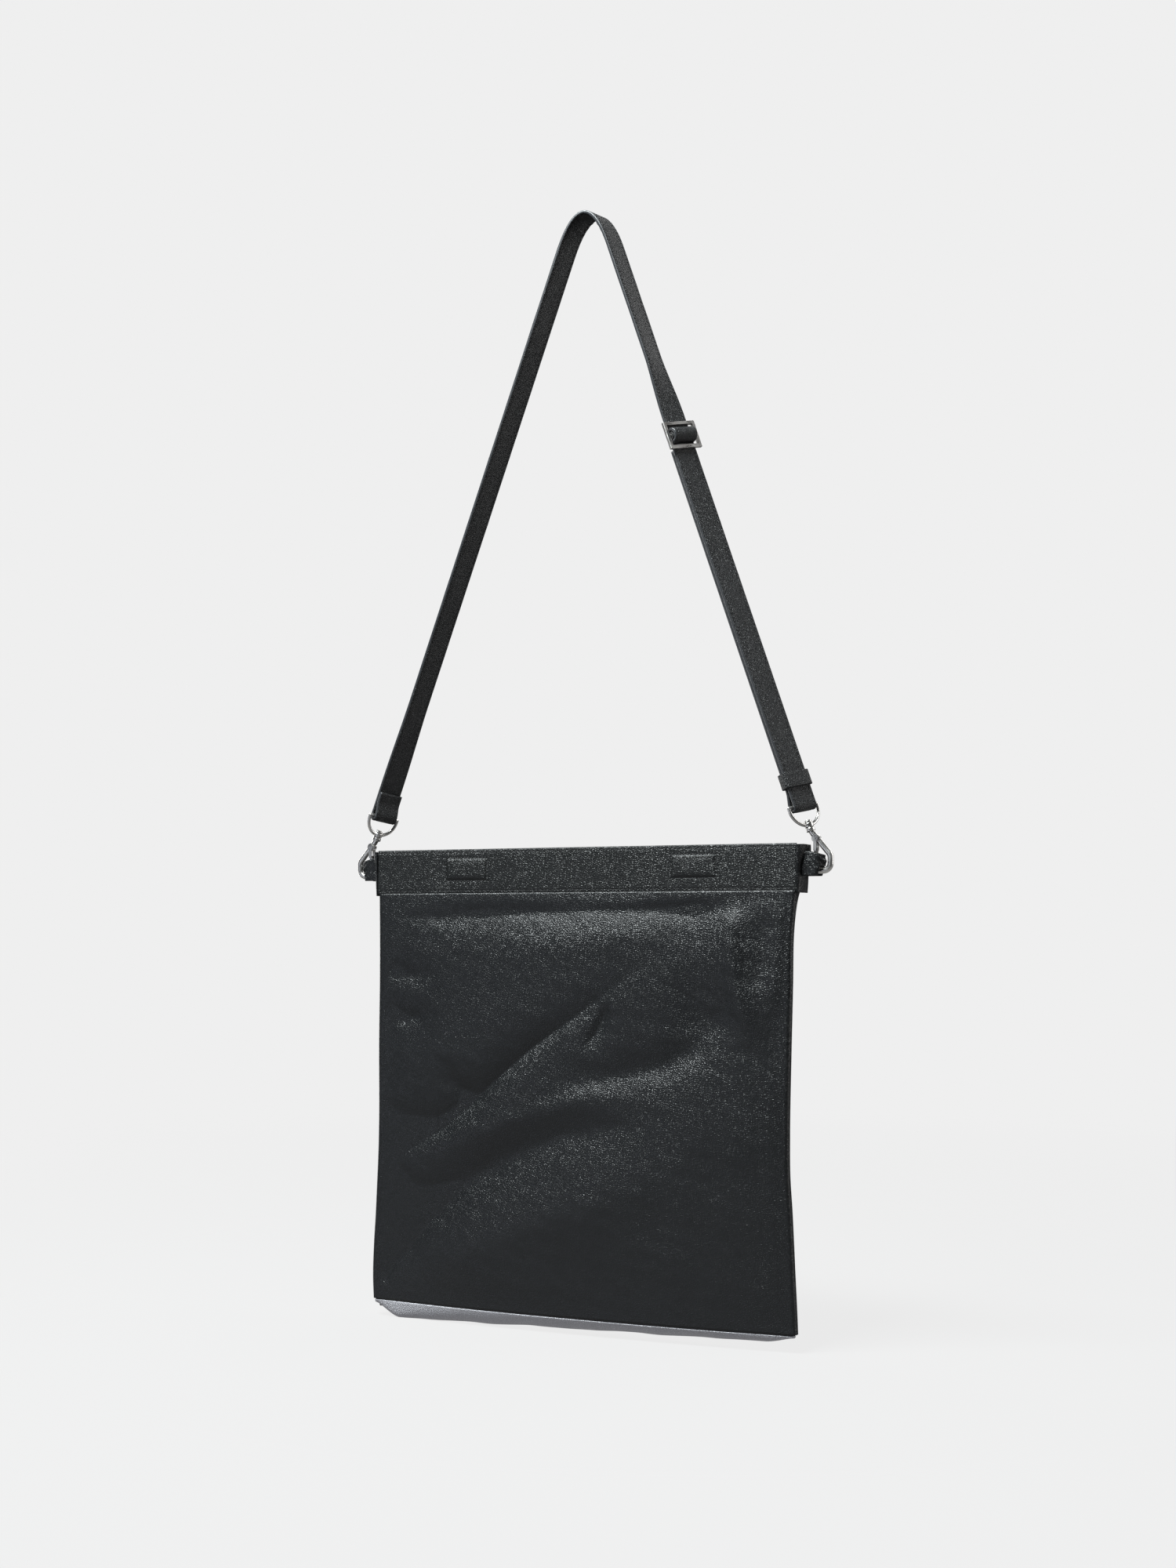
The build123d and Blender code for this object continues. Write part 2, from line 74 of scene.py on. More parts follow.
# places taken from the frame: the middle of the mouth's top edge, and the bag's lowest point
bandLow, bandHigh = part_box("front_band")
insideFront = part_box("front_band_facing")[1].y
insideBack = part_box("back_band_facing")[0].y
bagTop = np.array([(bandLow.x + bandHigh.x) / 2, (insideFront + insideBack) / 2, bandHigh.z])
bandHalf = (bandHigh.x - bandLow.x) / 2 / mm
bandHeight = (bandHigh.z - bandLow.z) / mm
mouthHalf = (insideBack - insideFront) / 2 / mm
lowestZ = cadBox[0].z


def fromBag(points):
    # millimetres from the middle of the mouth's top edge, into metres in the frame
    return np.asarray(points, float) * mm + bagTop


def ramp(value, low, high):
    # smooth step: 0 below low, 1 above high, 3t^2 - 2t^3 between
    t = np.clip((np.asarray(value, float) - low) / (high - low), 0, 1)
    return t * t * (3 - 2 * t)


def unit(vectors):
    return vectors / np.linalg.norm(vectors, axis=-1, keepdims=True)


def smoothCurve(at, knots, values):
    # cubic Hermite curve through the knots, with slopes from their neighbours
    knots, values = np.asarray(knots, float), np.asarray(values, float)
    slopes = np.gradient(values, knots)
    at = np.clip(at, knots[0], knots[-1])
    i = np.clip(np.searchsorted(knots, at) - 1, 0, len(knots) - 2)
    span = knots[i + 1] - knots[i]
    t = (at - knots[i]) / span
    return ((2 * t**3 - 3 * t**2 + 1) * values[i] + (t**3 - 2 * t**2 + t) * span * slopes[i]
            + (-2 * t**3 + 3 * t**2) * values[i + 1] + (t**3 - t**2) * span * slopes[i + 1])


def buildMesh(name, points, faces, uvs=None):
    # points n x 3, faces m x 4, uvs one pair per face corner
    mesh = bpy.data.meshes.new(name)
    mesh.vertices.add(len(points))
    mesh.vertices.foreach_set("co", np.ascontiguousarray(points, np.float32).ravel())
    mesh.loops.add(faces.size)
    mesh.loops.foreach_set("vertex_index", np.ascontiguousarray(faces, np.int32).ravel())
    mesh.polygons.add(len(faces))
    mesh.polygons.foreach_set("loop_start", np.arange(0, faces.size, faces.shape[1], dtype=np.int32))
    mesh.polygons.foreach_set("use_smooth", np.ones(len(faces), bool))
    mesh.update(calc_edges=True)
    if uvs is not None:
        layer = mesh.uv_layers.new(name="surface")
        layer.data.foreach_set("uv", np.ascontiguousarray(uvs, np.float32).ravel())
    mesh.validate()
    piece = bpy.data.objects.new(name, mesh)
    bpy.context.scene.collection.objects.link(piece)
    return piece


def gridUv(rows, columns):
    return np.dstack(np.meshgrid(rows, columns, indexing="ij"))


def gridPiece(name, points, wrapRows=False, wrapColumns=False, flip=False, uv=None):
    # rows x columns x 3 points in metres: every four neighbours make a face
    rows, columns = points.shape[:2]
    index = np.arange(rows * columns).reshape(rows, columns)
    if uv is None:
        uv = gridUv(np.arange(rows + 1), np.arange(columns + 1)) * mm
    if wrapRows:
        index = np.vstack([index, index[:1]])
    if wrapColumns:
        index = np.hstack([index, index[:, :1]])
    corner = np.arange(index.size).reshape(index.shape)
    pick = [np.s_[:-1, :-1], np.s_[1:, :-1], np.s_[1:, 1:], np.s_[:-1, 1:]]
    if flip:
        pick = pick[::-1]
    faces = np.stack([index[p] for p in pick], -1).reshape(-1, 4)
    corners = np.stack([corner[p] for p in pick], -1).reshape(-1, 4)
    flatUv = np.asarray(uv, float)[:index.shape[0], :index.shape[1]].reshape(-1, 2)
    return buildMesh(name, points.reshape(-1, 3), faces, flatUv[corners.ravel()])


def closeEnds(loops):
    # a stack of closed loops gets a shrunk loop and its middle point at each end
    first, last = loops[:1], loops[-1:]
    def shrunk(loop, share):
        middle = loop.mean(axis=1, keepdims=True)
        return middle + (loop - middle) * share
    return np.concatenate([shrunk(first, 0.0), shrunk(first, 0.96), loops,
                           shrunk(last, 0.96), shrunk(last, 0.0)])


def weld(piece, distance=1e-6):
    # merges doubled points, as at a closed end, and turns the faces outward
    work = bmesh.new()
    work.from_mesh(piece.data)
    bmesh.ops.remove_doubles(work, verts=work.verts, dist=distance)
    bmesh.ops.dissolve_degenerate(work, dist=1e-7, edges=work.edges)
    bmesh.ops.recalc_face_normals(work, faces=work.faces)
    work.to_mesh(piece.data)
    work.free()
    return piece


def alongPath(path):
    # distance from a path's start to each of its points
    return np.concatenate([[0], np.cumsum(np.linalg.norm(np.diff(path, axis=0), axis=1))])


def readAt(where, along, values):
    # values (n x 3) read at distances along a path
    return np.stack([np.interp(where, along, values[:, k]) for k in range(3)], -1)


def thicken(piece, thickness):
    wall = piece.modifiers.new("wall", "SOLIDIFY")
    wall.thickness = thickness * mm
    wall.offset = -1.0


def sweep(name, path, side, profile, lift=None, uvAround=0.06):
    # profile (k x 2: across, out) carried along path (n x 3), with across = side (n x 3)
    # point = path + side * across + normal * out, normal = side x heading
    heading = unit(np.gradient(path, axis=0))
    side = unit(side - heading * np.sum(side * heading, -1, keepdims=True))
    normal = unit(np.cross(side, heading))
    profile = np.broadcast_to(profile, (len(path),) + np.shape(profile)[-2:])
    points = path[:, None] + side[:, None] * profile[..., :1] + normal[:, None] * profile[..., 1:]
    if lift is not None:
        points = points + normal[:, None] * lift[..., None]
    length = alongPath(path)
    length = np.concatenate([[length[0]] * 2, length, [length[-1]] * 2])
    uv = gridUv(length, np.linspace(0, 1, profile.shape[1] + 1) * uvAround)
    return weld(gridPiece(name, closeEnds(points), wrapColumns=True, uv=uv))


def slabProfile(width, thickness, corner=0.0009, steps=3, across=9):
    # closed outline of a leather strip: flat faces, rounded edges
    half, flat = width / 2 - corner, thickness / 2 - corner
    turn = np.linspace(0, math.pi / 2, steps + 1)
    quarter = np.c_[np.cos(turn), np.sin(turn)] * corner
    top = np.c_[np.linspace(half, -half, across)[1:-1], np.full(across - 2, thickness / 2)]
    first = quarter + [half, flat]
    second = quarter[::-1] * [-1, 1] + [-half, flat]
    third = quarter * [-1, -1] + [-half, -flat]
    fourth = quarter[::-1] * [1, -1] + [half, -flat]
    return np.vstack([first, top, second, third, top[::-1] * [1, -1], fourth])


def wobble(along, across, seed, waves, longest, shortest):
    # sum of sine waves with seeded headings, lengths and phases, each as high as it is long
    draw = np.random.default_rng(seed)
    total = np.zeros(np.broadcast(along, across).shape)
    for wave in range(waves):
        length = longest * (shortest / longest) ** (wave / max(waves - 1, 1))
        heading, phase = draw.uniform(0, math.pi), draw.uniform(0, 2 * math.pi)
        turn = 2 * math.pi * (along * math.cos(heading) + across * math.sin(heading)) / length
        total = total + length / longest * np.sin(turn + phase)
    return total / 2


def fill(tree, made, inputs):
    # each input gets a link from a socket, or a value
    for key, value in inputs.items():
        if isinstance(value, bpy.types.NodeSocket):
            tree.links.new(value, made.inputs[key])
        else:
            made.inputs[key].default_value = value
    return made


def node(tree, kind, inputs=None, **settings):
    made = tree.nodes.new("ShaderNode" + kind)
    for key, value in settings.items():
        setattr(made, key, value)
    return fill(tree, made, inputs or {})


def calculate(tree, operation, *values):
    return node(tree, "Math", dict(enumerate(values)), operation=operation).outputs[0]


def noise(tree, vector, scale, detail=2.0, output="Fac"):
    return node(tree, "TexNoise", {"Vector": vector, "Scale": scale, "Detail": detail}).outputs[output]


def remap(tree, value, low, high, toLow=0.0, toHigh=1.0, **settings):
    ranges = {"Value": value, 1: low, 2: high, 3: toLow, 4: toHigh}
    return node(tree, "MapRange", ranges, **settings).outputs[0]


def arrange(tree):
    # left to right in the order they were made
    for place, item in enumerate(tree.nodes):
        item.location = (220 * (place // 4), -240 * (place % 4))


def newGroup(name, inputs, outputs, build):
    # a group with a vector and float inputs, whose outputs come from build(tree, input sockets)
    group = bpy.data.node_groups.new(name, "ShaderNodeTree")
    for label, value in inputs.items():
        kind = "Vector" if value is None else "Float"
        socket = group.interface.new_socket(label, in_out="INPUT", socket_type="NodeSocket" + kind)
        if value is not None:
            socket.default_value = value
    for label in outputs:
        group.interface.new_socket(label, in_out="OUTPUT", socket_type="NodeSocketFloat")
    made = build(group, group.nodes.new("NodeGroupInput").outputs)
    fill(group, group.nodes.new("NodeGroupOutput"), dict(zip(outputs, made)))
    arrange(group)
    return group


def grainNodes(tree, into):
    # pebbles: rounded cells of a warped Voronoi pattern, with fine pores and slow patches
    vector, patchiness = into["Vector"], into["Patchiness"]
    scale = calculate(tree, "DIVIDE", 1.0, into["Pebble Size"])
    warp = noise(tree, vector, 420.0, output="Color")
    shift = node(tree, "VectorMath", {0: warp, 1: (0.5, 0.5, 0.5)}, operation="SUBTRACT")
    small = node(tree, "VectorMath", {0: shift.outputs[0], "Scale": 0.0008}, operation="SCALE")
    moved = node(tree, "VectorMath", {0: vector, 1: small.outputs[0]}, operation="ADD")
    cells = node(tree, "TexVoronoi", {"Vector": moved.outputs[0], "Scale": scale},
                 feature="DISTANCE_TO_EDGE")
    pebble = remap(tree, cells.outputs["Distance"], 0.0, 0.34, interpolation_type="SMOOTHSTEP")
    pores, slow = noise(tree, vector, 2600.0), noise(tree, vector, 26.0, 3.0)
    raised = calculate(tree, "MULTIPLY", pebble, remap(tree, slow, 0.3, 0.7, 0.8, 1.0))
    patches = calculate(tree, "MULTIPLY", slow, patchiness)
    return (calculate(tree, "MULTIPLY_ADD", pores, 0.16, raised),
            calculate(tree, "MULTIPLY_ADD", raised, 0.6, patches),
            calculate(tree, "MULTIPLY_ADD", pebble, 0.5, patches))


def brushNodes(tree, into):
    # satin metal: fine scratches drawn out along z, and slow cloudy handling marks
    stretched = node(tree, "VectorMath", {0: into["Vector"], 1: (1.0, 1.0, 0.16)}, operation="MULTIPLY")
    return (noise(tree, stretched.outputs[0], into["Scratch Scale"], 4.0),
            noise(tree, into["Vector"], 140.0))


def weaveNodes(tree, into):
    # plain weave: two crossed sine waves, over and under
    weft, warp = (node(tree, "TexWave", {"Vector": into["Vector"], "Scale": into["Threads"],
                                         "Distortion": 0.4, "Detail": 1.0},
                       bands_direction=direction).outputs["Fac"] for direction in ("X", "Z"))
    return calculate(tree, "MULTIPLY", weft, warp), noise(tree, into["Vector"], 60.0)


grain = newGroup("leatherGrain", {"Vector": None, "Pebble Size": 0.0012, "Patchiness": 0.5},
                 ("Height", "Tone", "Gloss"), grainNodes)
brush = newGroup("satinBrush", {"Vector": None, "Scratch Scale": 900.0}, ("Height", "Tone"), brushNodes)
weave = newGroup("plainWeave", {"Vector": None, "Threads": 900.0}, ("Height", "Tone"), weaveNodes)


def newMaterial(name):
    material = bpy.data.materials.new(name)
    material.use_nodes = True
    tree = material.node_tree
    tree.nodes.clear()
    shader = node(tree, "BsdfPrincipled")
    node(tree, "OutputMaterial", {0: shader.outputs[0]})
    return material, tree, shader, node(tree, "TexCoord").outputs["Object"]


def surface(tree, shader, tone, height, look, **inputs):
    # colour runs from dark to light with tone, and height gives the bump
    colour = node(tree, "Mix", {"Factor": tone, 6: (*look["dark"], 1), 7: (*look["light"], 1)},
                  data_type="RGBA").outputs[2]
    bump = node(tree, "Bump", {"Height": height, "Strength": look["bump"], "Distance": look["depth"]})
    named = {key.replace("_", " "): value for key, value in inputs.items()}
    fill(tree, shader, {"Base Color": colour, "Normal": bump.outputs[0], **named})
    arrange(tree)


def leather(name, look):
    # near-black leather: pebbled bump, lighter on the pebbles' tops, glossier where rubbed
    material, tree, shader, place = newMaterial(name)
    grained = node(tree, "Group", {"Vector": place, "Pebble Size": look["pebble"],
                                   "Patchiness": look["patchiness"]}, node_tree=grain).outputs
    surface(tree, shader, grained["Tone"], grained["Height"], look,
            Roughness=remap(tree, grained["Gloss"], 0.1, 1.0, look["dull"], look["shiny"]),
            Specular_IOR_Level=look["specular"])
    return material


def metal(name, look):
    material, tree, shader, place = newMaterial(name)
    brushed = node(tree, "Group", {"Vector": place, "Scratch Scale": look["scratches"]},
                   node_tree=brush).outputs
    surface(tree, shader, brushed["Tone"], brushed["Height"], look, Metallic=1.0,
            Roughness=remap(tree, brushed["Tone"], 0.3, 0.7, look["shiny"], look["dull"]))
    return material


def thread(name, look):
    # waxed thread: a twist of fine slanting strands
    material, tree, shader, place = newMaterial(name)
    strands = node(tree, "TexWave", {"Vector": place, "Scale": look["strands"], "Distortion": 1.5},
                   bands_direction="DIAGONAL").outputs["Fac"]
    surface(tree, shader, strands, strands, look, Roughness=look["dull"])
    return material


def cloth(name, look):
    material, tree, shader, place = newMaterial(name)
    woven = node(tree, "Group", {"Vector": place}, node_tree=weave).outputs
    surface(tree, shader, woven["Tone"], woven["Height"], look, Roughness=look["dull"],
            Sheen_Weight=look["sheen"])
    return material


leatherKeys = ("pebble", "patchiness", "dark", "light", "dull", "shiny", "bump", "depth", "specular")
leatherLooks = {
    "bodyLeather": (0.0015, 0.35, (0.003, 0.0036, 0.0042), (0.0075, 0.0086, 0.0095), 0.39, 0.29, 0.75,
                    0.00026, 0.5),
    # bottom panel: colour painted far lighter than the black leather, a painted reflection of the bright
    # floor beneath it
    "bottomLeatherPaintedReflection": (0.0015, 0.35, (0.4, 0.395, 0.42), (0.62, 0.615, 0.65), 0.5, 0.36, 0.8, 0.0005, 0.55),
    "bandLeather": (0.0015, 0.5, (0.0042, 0.0048, 0.0048), (0.01, 0.011, 0.011), 0.41, 0.32, 0.85,
                    0.00028, 0.45),
    "facingLeather": (0.0009, 0.4, (0.004, 0.004, 0.0045), (0.009, 0.009, 0.01), 0.6, 0.48, 0.4,
                      0.0002, 0.4),
    "strapLeather": (0.0013, 0.4, (0.0035, 0.004, 0.0045), (0.009, 0.01, 0.011), 0.52, 0.4, 0.9,
                     0.0004, 0.5),
    # strap edges: real edge paint, made much lighter than the strap so it also paints the highlight line
    # along the edges
    "edgePaintAndHighlight": (0.0008, 0.7, (0.016, 0.017, 0.019), (0.04, 0.042, 0.046), 0.4, 0.28, 0.2, 0.0001, 0.5),
    "pipingLeather": (0.0009, 0.4, (0.002, 0.002, 0.0025), (0.005, 0.005, 0.006), 0.5, 0.38, 0.4,
                      0.0002, 0.5),
}
leathers = {name: leather(name, dict(zip(leatherKeys, look))) for name, look in leatherLooks.items()}
edgedStrap = [leathers["strapLeather"], leathers["edgePaintAndHighlight"]]
waxedThread = thread("waxedThread", dict(strands=1100.0, dark=(0.010, 0.010, 0.011),
                                         light=(0.032, 0.032, 0.034), dull=0.5, bump=0.5, depth=0.0001))
liningCotton = cloth("liningCotton", dict(dark=(0.03, 0.03, 0.034), light=(0.07, 0.07, 0.076), dull=0.85,
                                          sheen=0.3, bump=0.6, depth=0.0002))
metalKeys = ("scratches", "dark", "light", "shiny", "dull", "bump", "depth")
satinNickel, magnetPlate, springSteel = (metal(name, dict(zip(metalKeys, look))) for name, look in (
    ("satinNickel", (900.0, (0.62, 0.605, 0.58), (0.78, 0.765, 0.74), 0.26, 0.42, 0.3, 0.00004)),
    ("magnetPlate", (500.0, (0.35, 0.35, 0.36), (0.55, 0.55, 0.56), 0.2, 0.4, 0.2, 0.00004)),
    ("springSteel", (1400.0, (0.42, 0.42, 0.43), (0.6, 0.6, 0.6), 0.18, 0.3, 0.2, 0.00004))))
print("materials made")


def finishPiece(piece, material, body=None, stands=()):
    # material, the CAD body it rides on and the nodes it stands for
    piece.data.materials.clear()
    for one in material if isinstance(material, (list, tuple)) else [material]:
        piece.data.materials.append(one)
    if body:
        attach(piece, body)
    if stands:
        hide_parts(*stands)
    return piece


def stitchMesh(name, starts, ends, outward, thickness, sink=0.25 * mm, rings=7, sides=6):
    # one thread capsule from each start to each end: it arches out and sinks at both holes
    share = np.linspace(0, 1, rings)
    heading = unit(ends - starts)
    outward = unit(outward - heading * np.sum(outward * heading, -1, keepdims=True))
    side = np.cross(heading, outward)
    arch = (np.sin(math.pi * share) ** 0.5 * (sink + thickness * 0.35) - sink)[None, :, None]
    middle = starts[:, None] + (ends - starts)[:, None] * share[None, :, None] + outward[:, None] * arch
    radius = (thickness / 2 * np.sin(math.pi * np.clip(share, 0.0, 1.0)) ** 0.3)[None, :, None, None]
    turn = np.linspace(0, 2 * math.pi, sides, endpoint=False)
    ring = (side[:, None, None] * np.cos(turn)[None, None, :, None]
            + outward[:, None, None] * np.sin(turn)[None, None, :, None])
    points = middle[:, :, None] + ring * radius
    count = len(starts)
    index = np.arange(count * rings * sides).reshape(count, rings, sides)
    nextSide = np.roll(index, -1, axis=2)
    faces = np.stack([index[:, :-1], index[:, 1:], nextSide[:, 1:], nextSide[:, :-1]], -1).reshape(-1, 4)
    return weld(buildMesh(name, points.reshape(-1, 3), faces), 1e-8)


def stitchLine(path, outward, pitch=3.9, gap=0.9 * mm):
    # evenly spaced stitches along a line: starts, ends and outward headings
    pitch, along = pitch * mm, alongPath(path)
    outward = np.broadcast_to(outward, path.shape)
    count = max(int(along[-1] / pitch), 1)
    first = (np.arange(count) + 0.5) * along[-1] / count - (pitch - gap) / 2
    return (readAt(first, along, path), readAt(first + pitch - gap, along, path),
            readAt(first + pitch / 2, along, outward))


def sew(name, rows, body, thickness=0.55):
    # the thread of several stitched lines as one piece
    starts, ends, outward = (np.concatenate([row[k] for row in rows]) for k in range(3))
    return finishPiece(stitchMesh(name, starts, ends, outward, thickness * mm), waxedThread, body)


view = {"place": (0.7309, -1.5733, -0.6294), "turn": 25.0, "tilt": 4.159, "lens": 46.04, "sensor": 36.0}
cameraData = bpy.data.cameras.new("viewer")
cameraData.lens, cameraData.sensor_width = view["lens"], view["sensor"]
cameraData.clip_start, cameraData.clip_end = 0.05, 50.0
viewer = bpy.data.objects.new("viewer", cameraData)
viewer.location = view["place"]
viewer.rotation_euler = (math.radians(90 + view["tilt"]), 0, math.radians(view["turn"]))
bpy.context.scene.collection.objects.link(viewer)
bpy.context.scene.camera = viewer

# each light: place, the point it faces, size, power and colour
stage = {"background": 0.863, "floorGap": 0.0012, "floorSize": 3.2, "studio": 0.02, "floorTone": 0.035,
         "floorSeen": 0.80, "floorGlow": 0.30, "fadeFrom": 0.5, "fadeTo": 1.9,
         "lights": {
             "softTop": ((-0.45, -0.95, 1.05), (0, 0, -0.6), (1.2, 0.5), 100.0, (0.93, 0.99, 1.0)),
             "softLeft": ((-1.7, 0.75, -0.2), (0, 0, -0.6), (0.9, 1.8), 15.0, (1, 1, 1)),
             "softRight": ((1.8, 0.75, 0.0), (0, 0, -0.6), (0.9, 1.8), 18.0, (1, 1, 1)),
             "softBack": ((0.3, 1.9, 0.7), (0, 0, -0.6), (1.6, 1.2), 16.0, (1, 1, 1)),
             "softLow": ((-0.9, -1.5, -0.86), (0.0, 0.0, -0.85), (1.8, 0.25), 3.4, (0.84, 0.88, 1.0))}}


def buildStage():
    # the camera sees a white surround and a pale floor; other rays see both much dimmer
    world = bpy.data.worlds.new("studio")
    bpy.context.scene.world = world
    world.use_nodes = True
    tree = world.node_tree
    tree.nodes.clear()
    seen = node(tree, "Background", {"Color": (1, 1, 1, 1), "Strength": stage["background"]})
    lit = node(tree, "Background", {"Color": (0.95, 0.97, 1.0, 1), "Strength": stage["studio"]})
    direct = node(tree, "LightPath").outputs["Is Camera Ray"]
    mixed = node(tree, "MixShader", {0: direct, 1: lit.outputs[0], 2: seen.outputs[0]})
    node(tree, "OutputWorld", {0: mixed.outputs[0]})

    size, low = stage["floorSize"], lowestZ - stage["floorGap"]
    corners = np.array([[[-size, -size, low], [-size, size, low]], [[size, -size, low], [size, size, low]]])
    floor = gridPiece("floor", corners)
    material, tree, shader, place = newMaterial("paleFloor")
    direct = node(tree, "LightPath").outputs["Is Camera Ray"]
    fill(tree, shader, {"Base Color": (*[stage["floorTone"]] * 3, 1), "Roughness": 0.7,
                        "Emission Color": (1, 1, 1, 1), "Specular IOR Level": 0.0,
                        "Emission Strength": remap(tree, direct, 0.0, 1.0, stage["floorGlow"],
                                                   stage["floorSeen"])})
    centred = node(tree, "VectorMath", {0: place, 1: (0.0, 0.2, lowestZ)}, operation="DISTANCE")
    far = remap(tree, centred.outputs["Value"], stage["fadeFrom"], stage["fadeTo"])
    clear = node(tree, "BsdfTransparent").outputs[0]
    fade = node(tree, "MixShader", {0: far, 1: shader.outputs[0], 2: clear})
    fill(tree, tree.nodes["Material Output"], {0: fade.outputs[0]})
    arrange(tree)
    floor.data.materials.append(material)
    for name, (place, aim, size, power, colour) in stage["lights"].items():
        data = bpy.data.lights.new(name, "AREA")
        data.shape, data.energy, data.color = "RECTANGLE", power, colour
        data.size, data.size_y = size
        light = bpy.data.objects.new(name, data)
        light.location = place
        light.rotation_euler = (Vector(aim) - Vector(place)).to_track_quat("-Z", "Y").to_euler()
        bpy.context.scene.collection.objects.link(light)
    bpy.context.scene.view_settings.view_transform = "Standard"


buildStage()
print("camera, lights and floor placed")

band = {"leather": 2.0, "facing": 1.6, "edgeRoll": 0.75, "stitchInset": 2.7, "grooveDepth": 0.42,
        "grooveWidth": 0.7, "pocketX": 108.0, "pocketZ": -17.8, "pocketLength": 39.0, "pocketHeight": 18.0,
        "pocketRise": 0.75, "pocketStitch": 1.5, "moatDepth": 0.30, "moatAt": 1.1, "moatWidth": 0.8,
        "magnetHalf": (15.5, 5.8), "magnetDrop": 0.4, "magnetRise": 0.35, "sway": 0.35, "thread": 0.65,
        "pitch": 3.9, "pocketPitch": 3.3, "endRound": 0.9, "columns": 620, "faceRows": 64, "backRows": 12}


def pocketRelief(x, z):
    # pressed rectangle: raised plateau with a soft shoulder, a sunk moat, and a step over the magnet
    total = np.zeros(np.broadcast(x, z).shape)
    for side in (-1, 1):
        fromX = np.abs(x - side * band["pocketX"])
        fromZ = np.abs(z - band["pocketZ"])
        outside = np.maximum(fromX - band["pocketLength"] / 2, fromZ - band["pocketHeight"] / 2)
        total += band["pocketRise"] * (1 - ramp(outside, -1.6, 0.6))
        total -= band["moatDepth"] * np.exp(-((outside - band["moatAt"]) / band["moatWidth"]) ** 2)
        overMagnet = np.maximum(fromX - band["magnetHalf"][0],
                                np.abs(z - band["pocketZ"] + band["magnetDrop"]) - band["magnetHalf"][1])
        total += band["magnetRise"] * (1 - ramp(overMagnet, -1.0, 1.4))
    return total


def bandRelief(x, z, seed):
    # stitch grooves near both long edges, the pockets, and a slow hand-made sway
    top, low = -band["stitchInset"], -bandHeight + band["stitchInset"]
    grooves = sum(np.exp(-((z - level) / band["grooveWidth"]) ** 2) for level in (top, low))
    pucker = 0.5 + 0.5 * np.cos(2 * math.pi * x / band["pitch"])
    sway = band["sway"] * wobble(x, z, seed, 6, 150, 26)
    rolled = ramp(np.abs(z + bandHeight / 2), bandHeight / 2 - 2.2, bandHeight / 2) * 0.5
    return pocketRelief(x, z) - band["grooveDepth"] * grooves * (0.75 + 0.25 * pucker) + sway * 0.6 - rolled


def bandPlate(name, way, innerY, outerY, relief, material, body, standsFor, seed):
    # closed section (outer face, rounded low edge, inner face, rounded top edge) carried along x
    roll = min(band["edgeRoll"], (outerY - innerY) / 2 - 0.05)
    lowZ = -bandHeight + roll
    def arc(middleY, middleZ, quarter):
        turn = -(quarter + np.linspace(0, 1, 4)[1:]) * math.pi / 2
        return np.c_[middleY + roll * np.cos(turn), middleZ + roll * np.sin(turn)]
    faceRows, backRows = band["faceRows"], band["backRows"]
    section = np.vstack([np.c_[np.full(faceRows, outerY), np.linspace(-roll, lowZ, faceRows)],
                         arc(outerY - roll, lowZ, 0), arc(innerY + roll, lowZ, 1),
                         np.c_[np.full(backRows, innerY), np.linspace(lowZ, -roll, backRows + 1)[1:]],
                         arc(innerY + roll, -roll, 2), arc(outerY - roll, -roll, 3)[:-1]])
    x = np.linspace(-bandHalf, bandHalf, band["columns"])[:, None]
    z = np.broadcast_to(section[:, 1], (len(x), len(section)))
    lift = (relief(x, z, seed) if relief else 0) * ramp(section[:, 0], outerY - roll, outerY - roll / 3)
    nearEnd = ramp(np.abs(x), bandHalf - band["endRound"], bandHalf + band["endRound"])
    middleY = way * (innerY + outerY) / 2
    y = middleY + (way * (section[:, 0] + lift) - middleY) * (0.25 + 0.75 * np.sqrt(1 - nearEnd**2))
    points = np.stack([np.broadcast_to(x, y.shape), y, z], -1)
    uv = gridUv(np.linspace(0, 0.4, len(x) + 4), np.linspace(0, 0.09, len(section) + 1))
    piece = weld(gridPiece(name, fromBag(closeEnds(points)), wrapColumns=True, uv=uv))
    return finishPiece(piece, leathers[material], body, [standsFor])


faceInner = mouthHalf + band["facing"]
faceOuter = faceInner + band["leather"]


def bandStitches(name, way, body, seed):
    # two long rows and the outline of each pressed rectangle
    rows = []
    def row(x, z, pitch):
        y = way * (faceOuter + bandRelief(x, z, seed))
        rows.append(stitchLine(fromBag(np.stack([x, y, z], -1)), [0, way, 0.0], pitch))
    x = np.linspace(-bandHalf + 4, bandHalf - 4, 200)
    for z in (-band["stitchInset"], -bandHeight + band["stitchInset"]):
        row(x, np.full_like(x, z), band["pitch"])
    halfX = band["pocketLength"] / 2 + band["pocketStitch"]
    halfZ = band["pocketHeight"] / 2 + band["pocketStitch"]
    for side in (-1, 1):
        corners = [(-halfX, halfZ), (halfX, halfZ), (halfX, -halfZ), (-halfX, -halfZ), (-halfX, halfZ)]
        for (ax, az), (bx, bz) in zip(corners[:-1], corners[1:]):
            row(side * band["pocketX"] + np.linspace(ax, bx, 30), band["pocketZ"] + np.linspace(az, bz, 30),
                band["pocketPitch"])
    return sew(name, rows, body, band["thread"])


for way, word, seed in ((-1, "front", 11), (1, "back", 12)):
    bodyName = word + "_band"
    bandPlate(word + "BandFace", way, faceInner, faceOuter, bandRelief, "bandLeather", bodyName,
              bodyName, seed)
    bandPlate(word + "BandFacing", way, mouthHalf, faceInner, None, "facingLeather", bodyName,
              bodyName + "_facing", seed)
    bandStitches(word + "BandStitches", way, bodyName, seed)
print("mouth bands done")

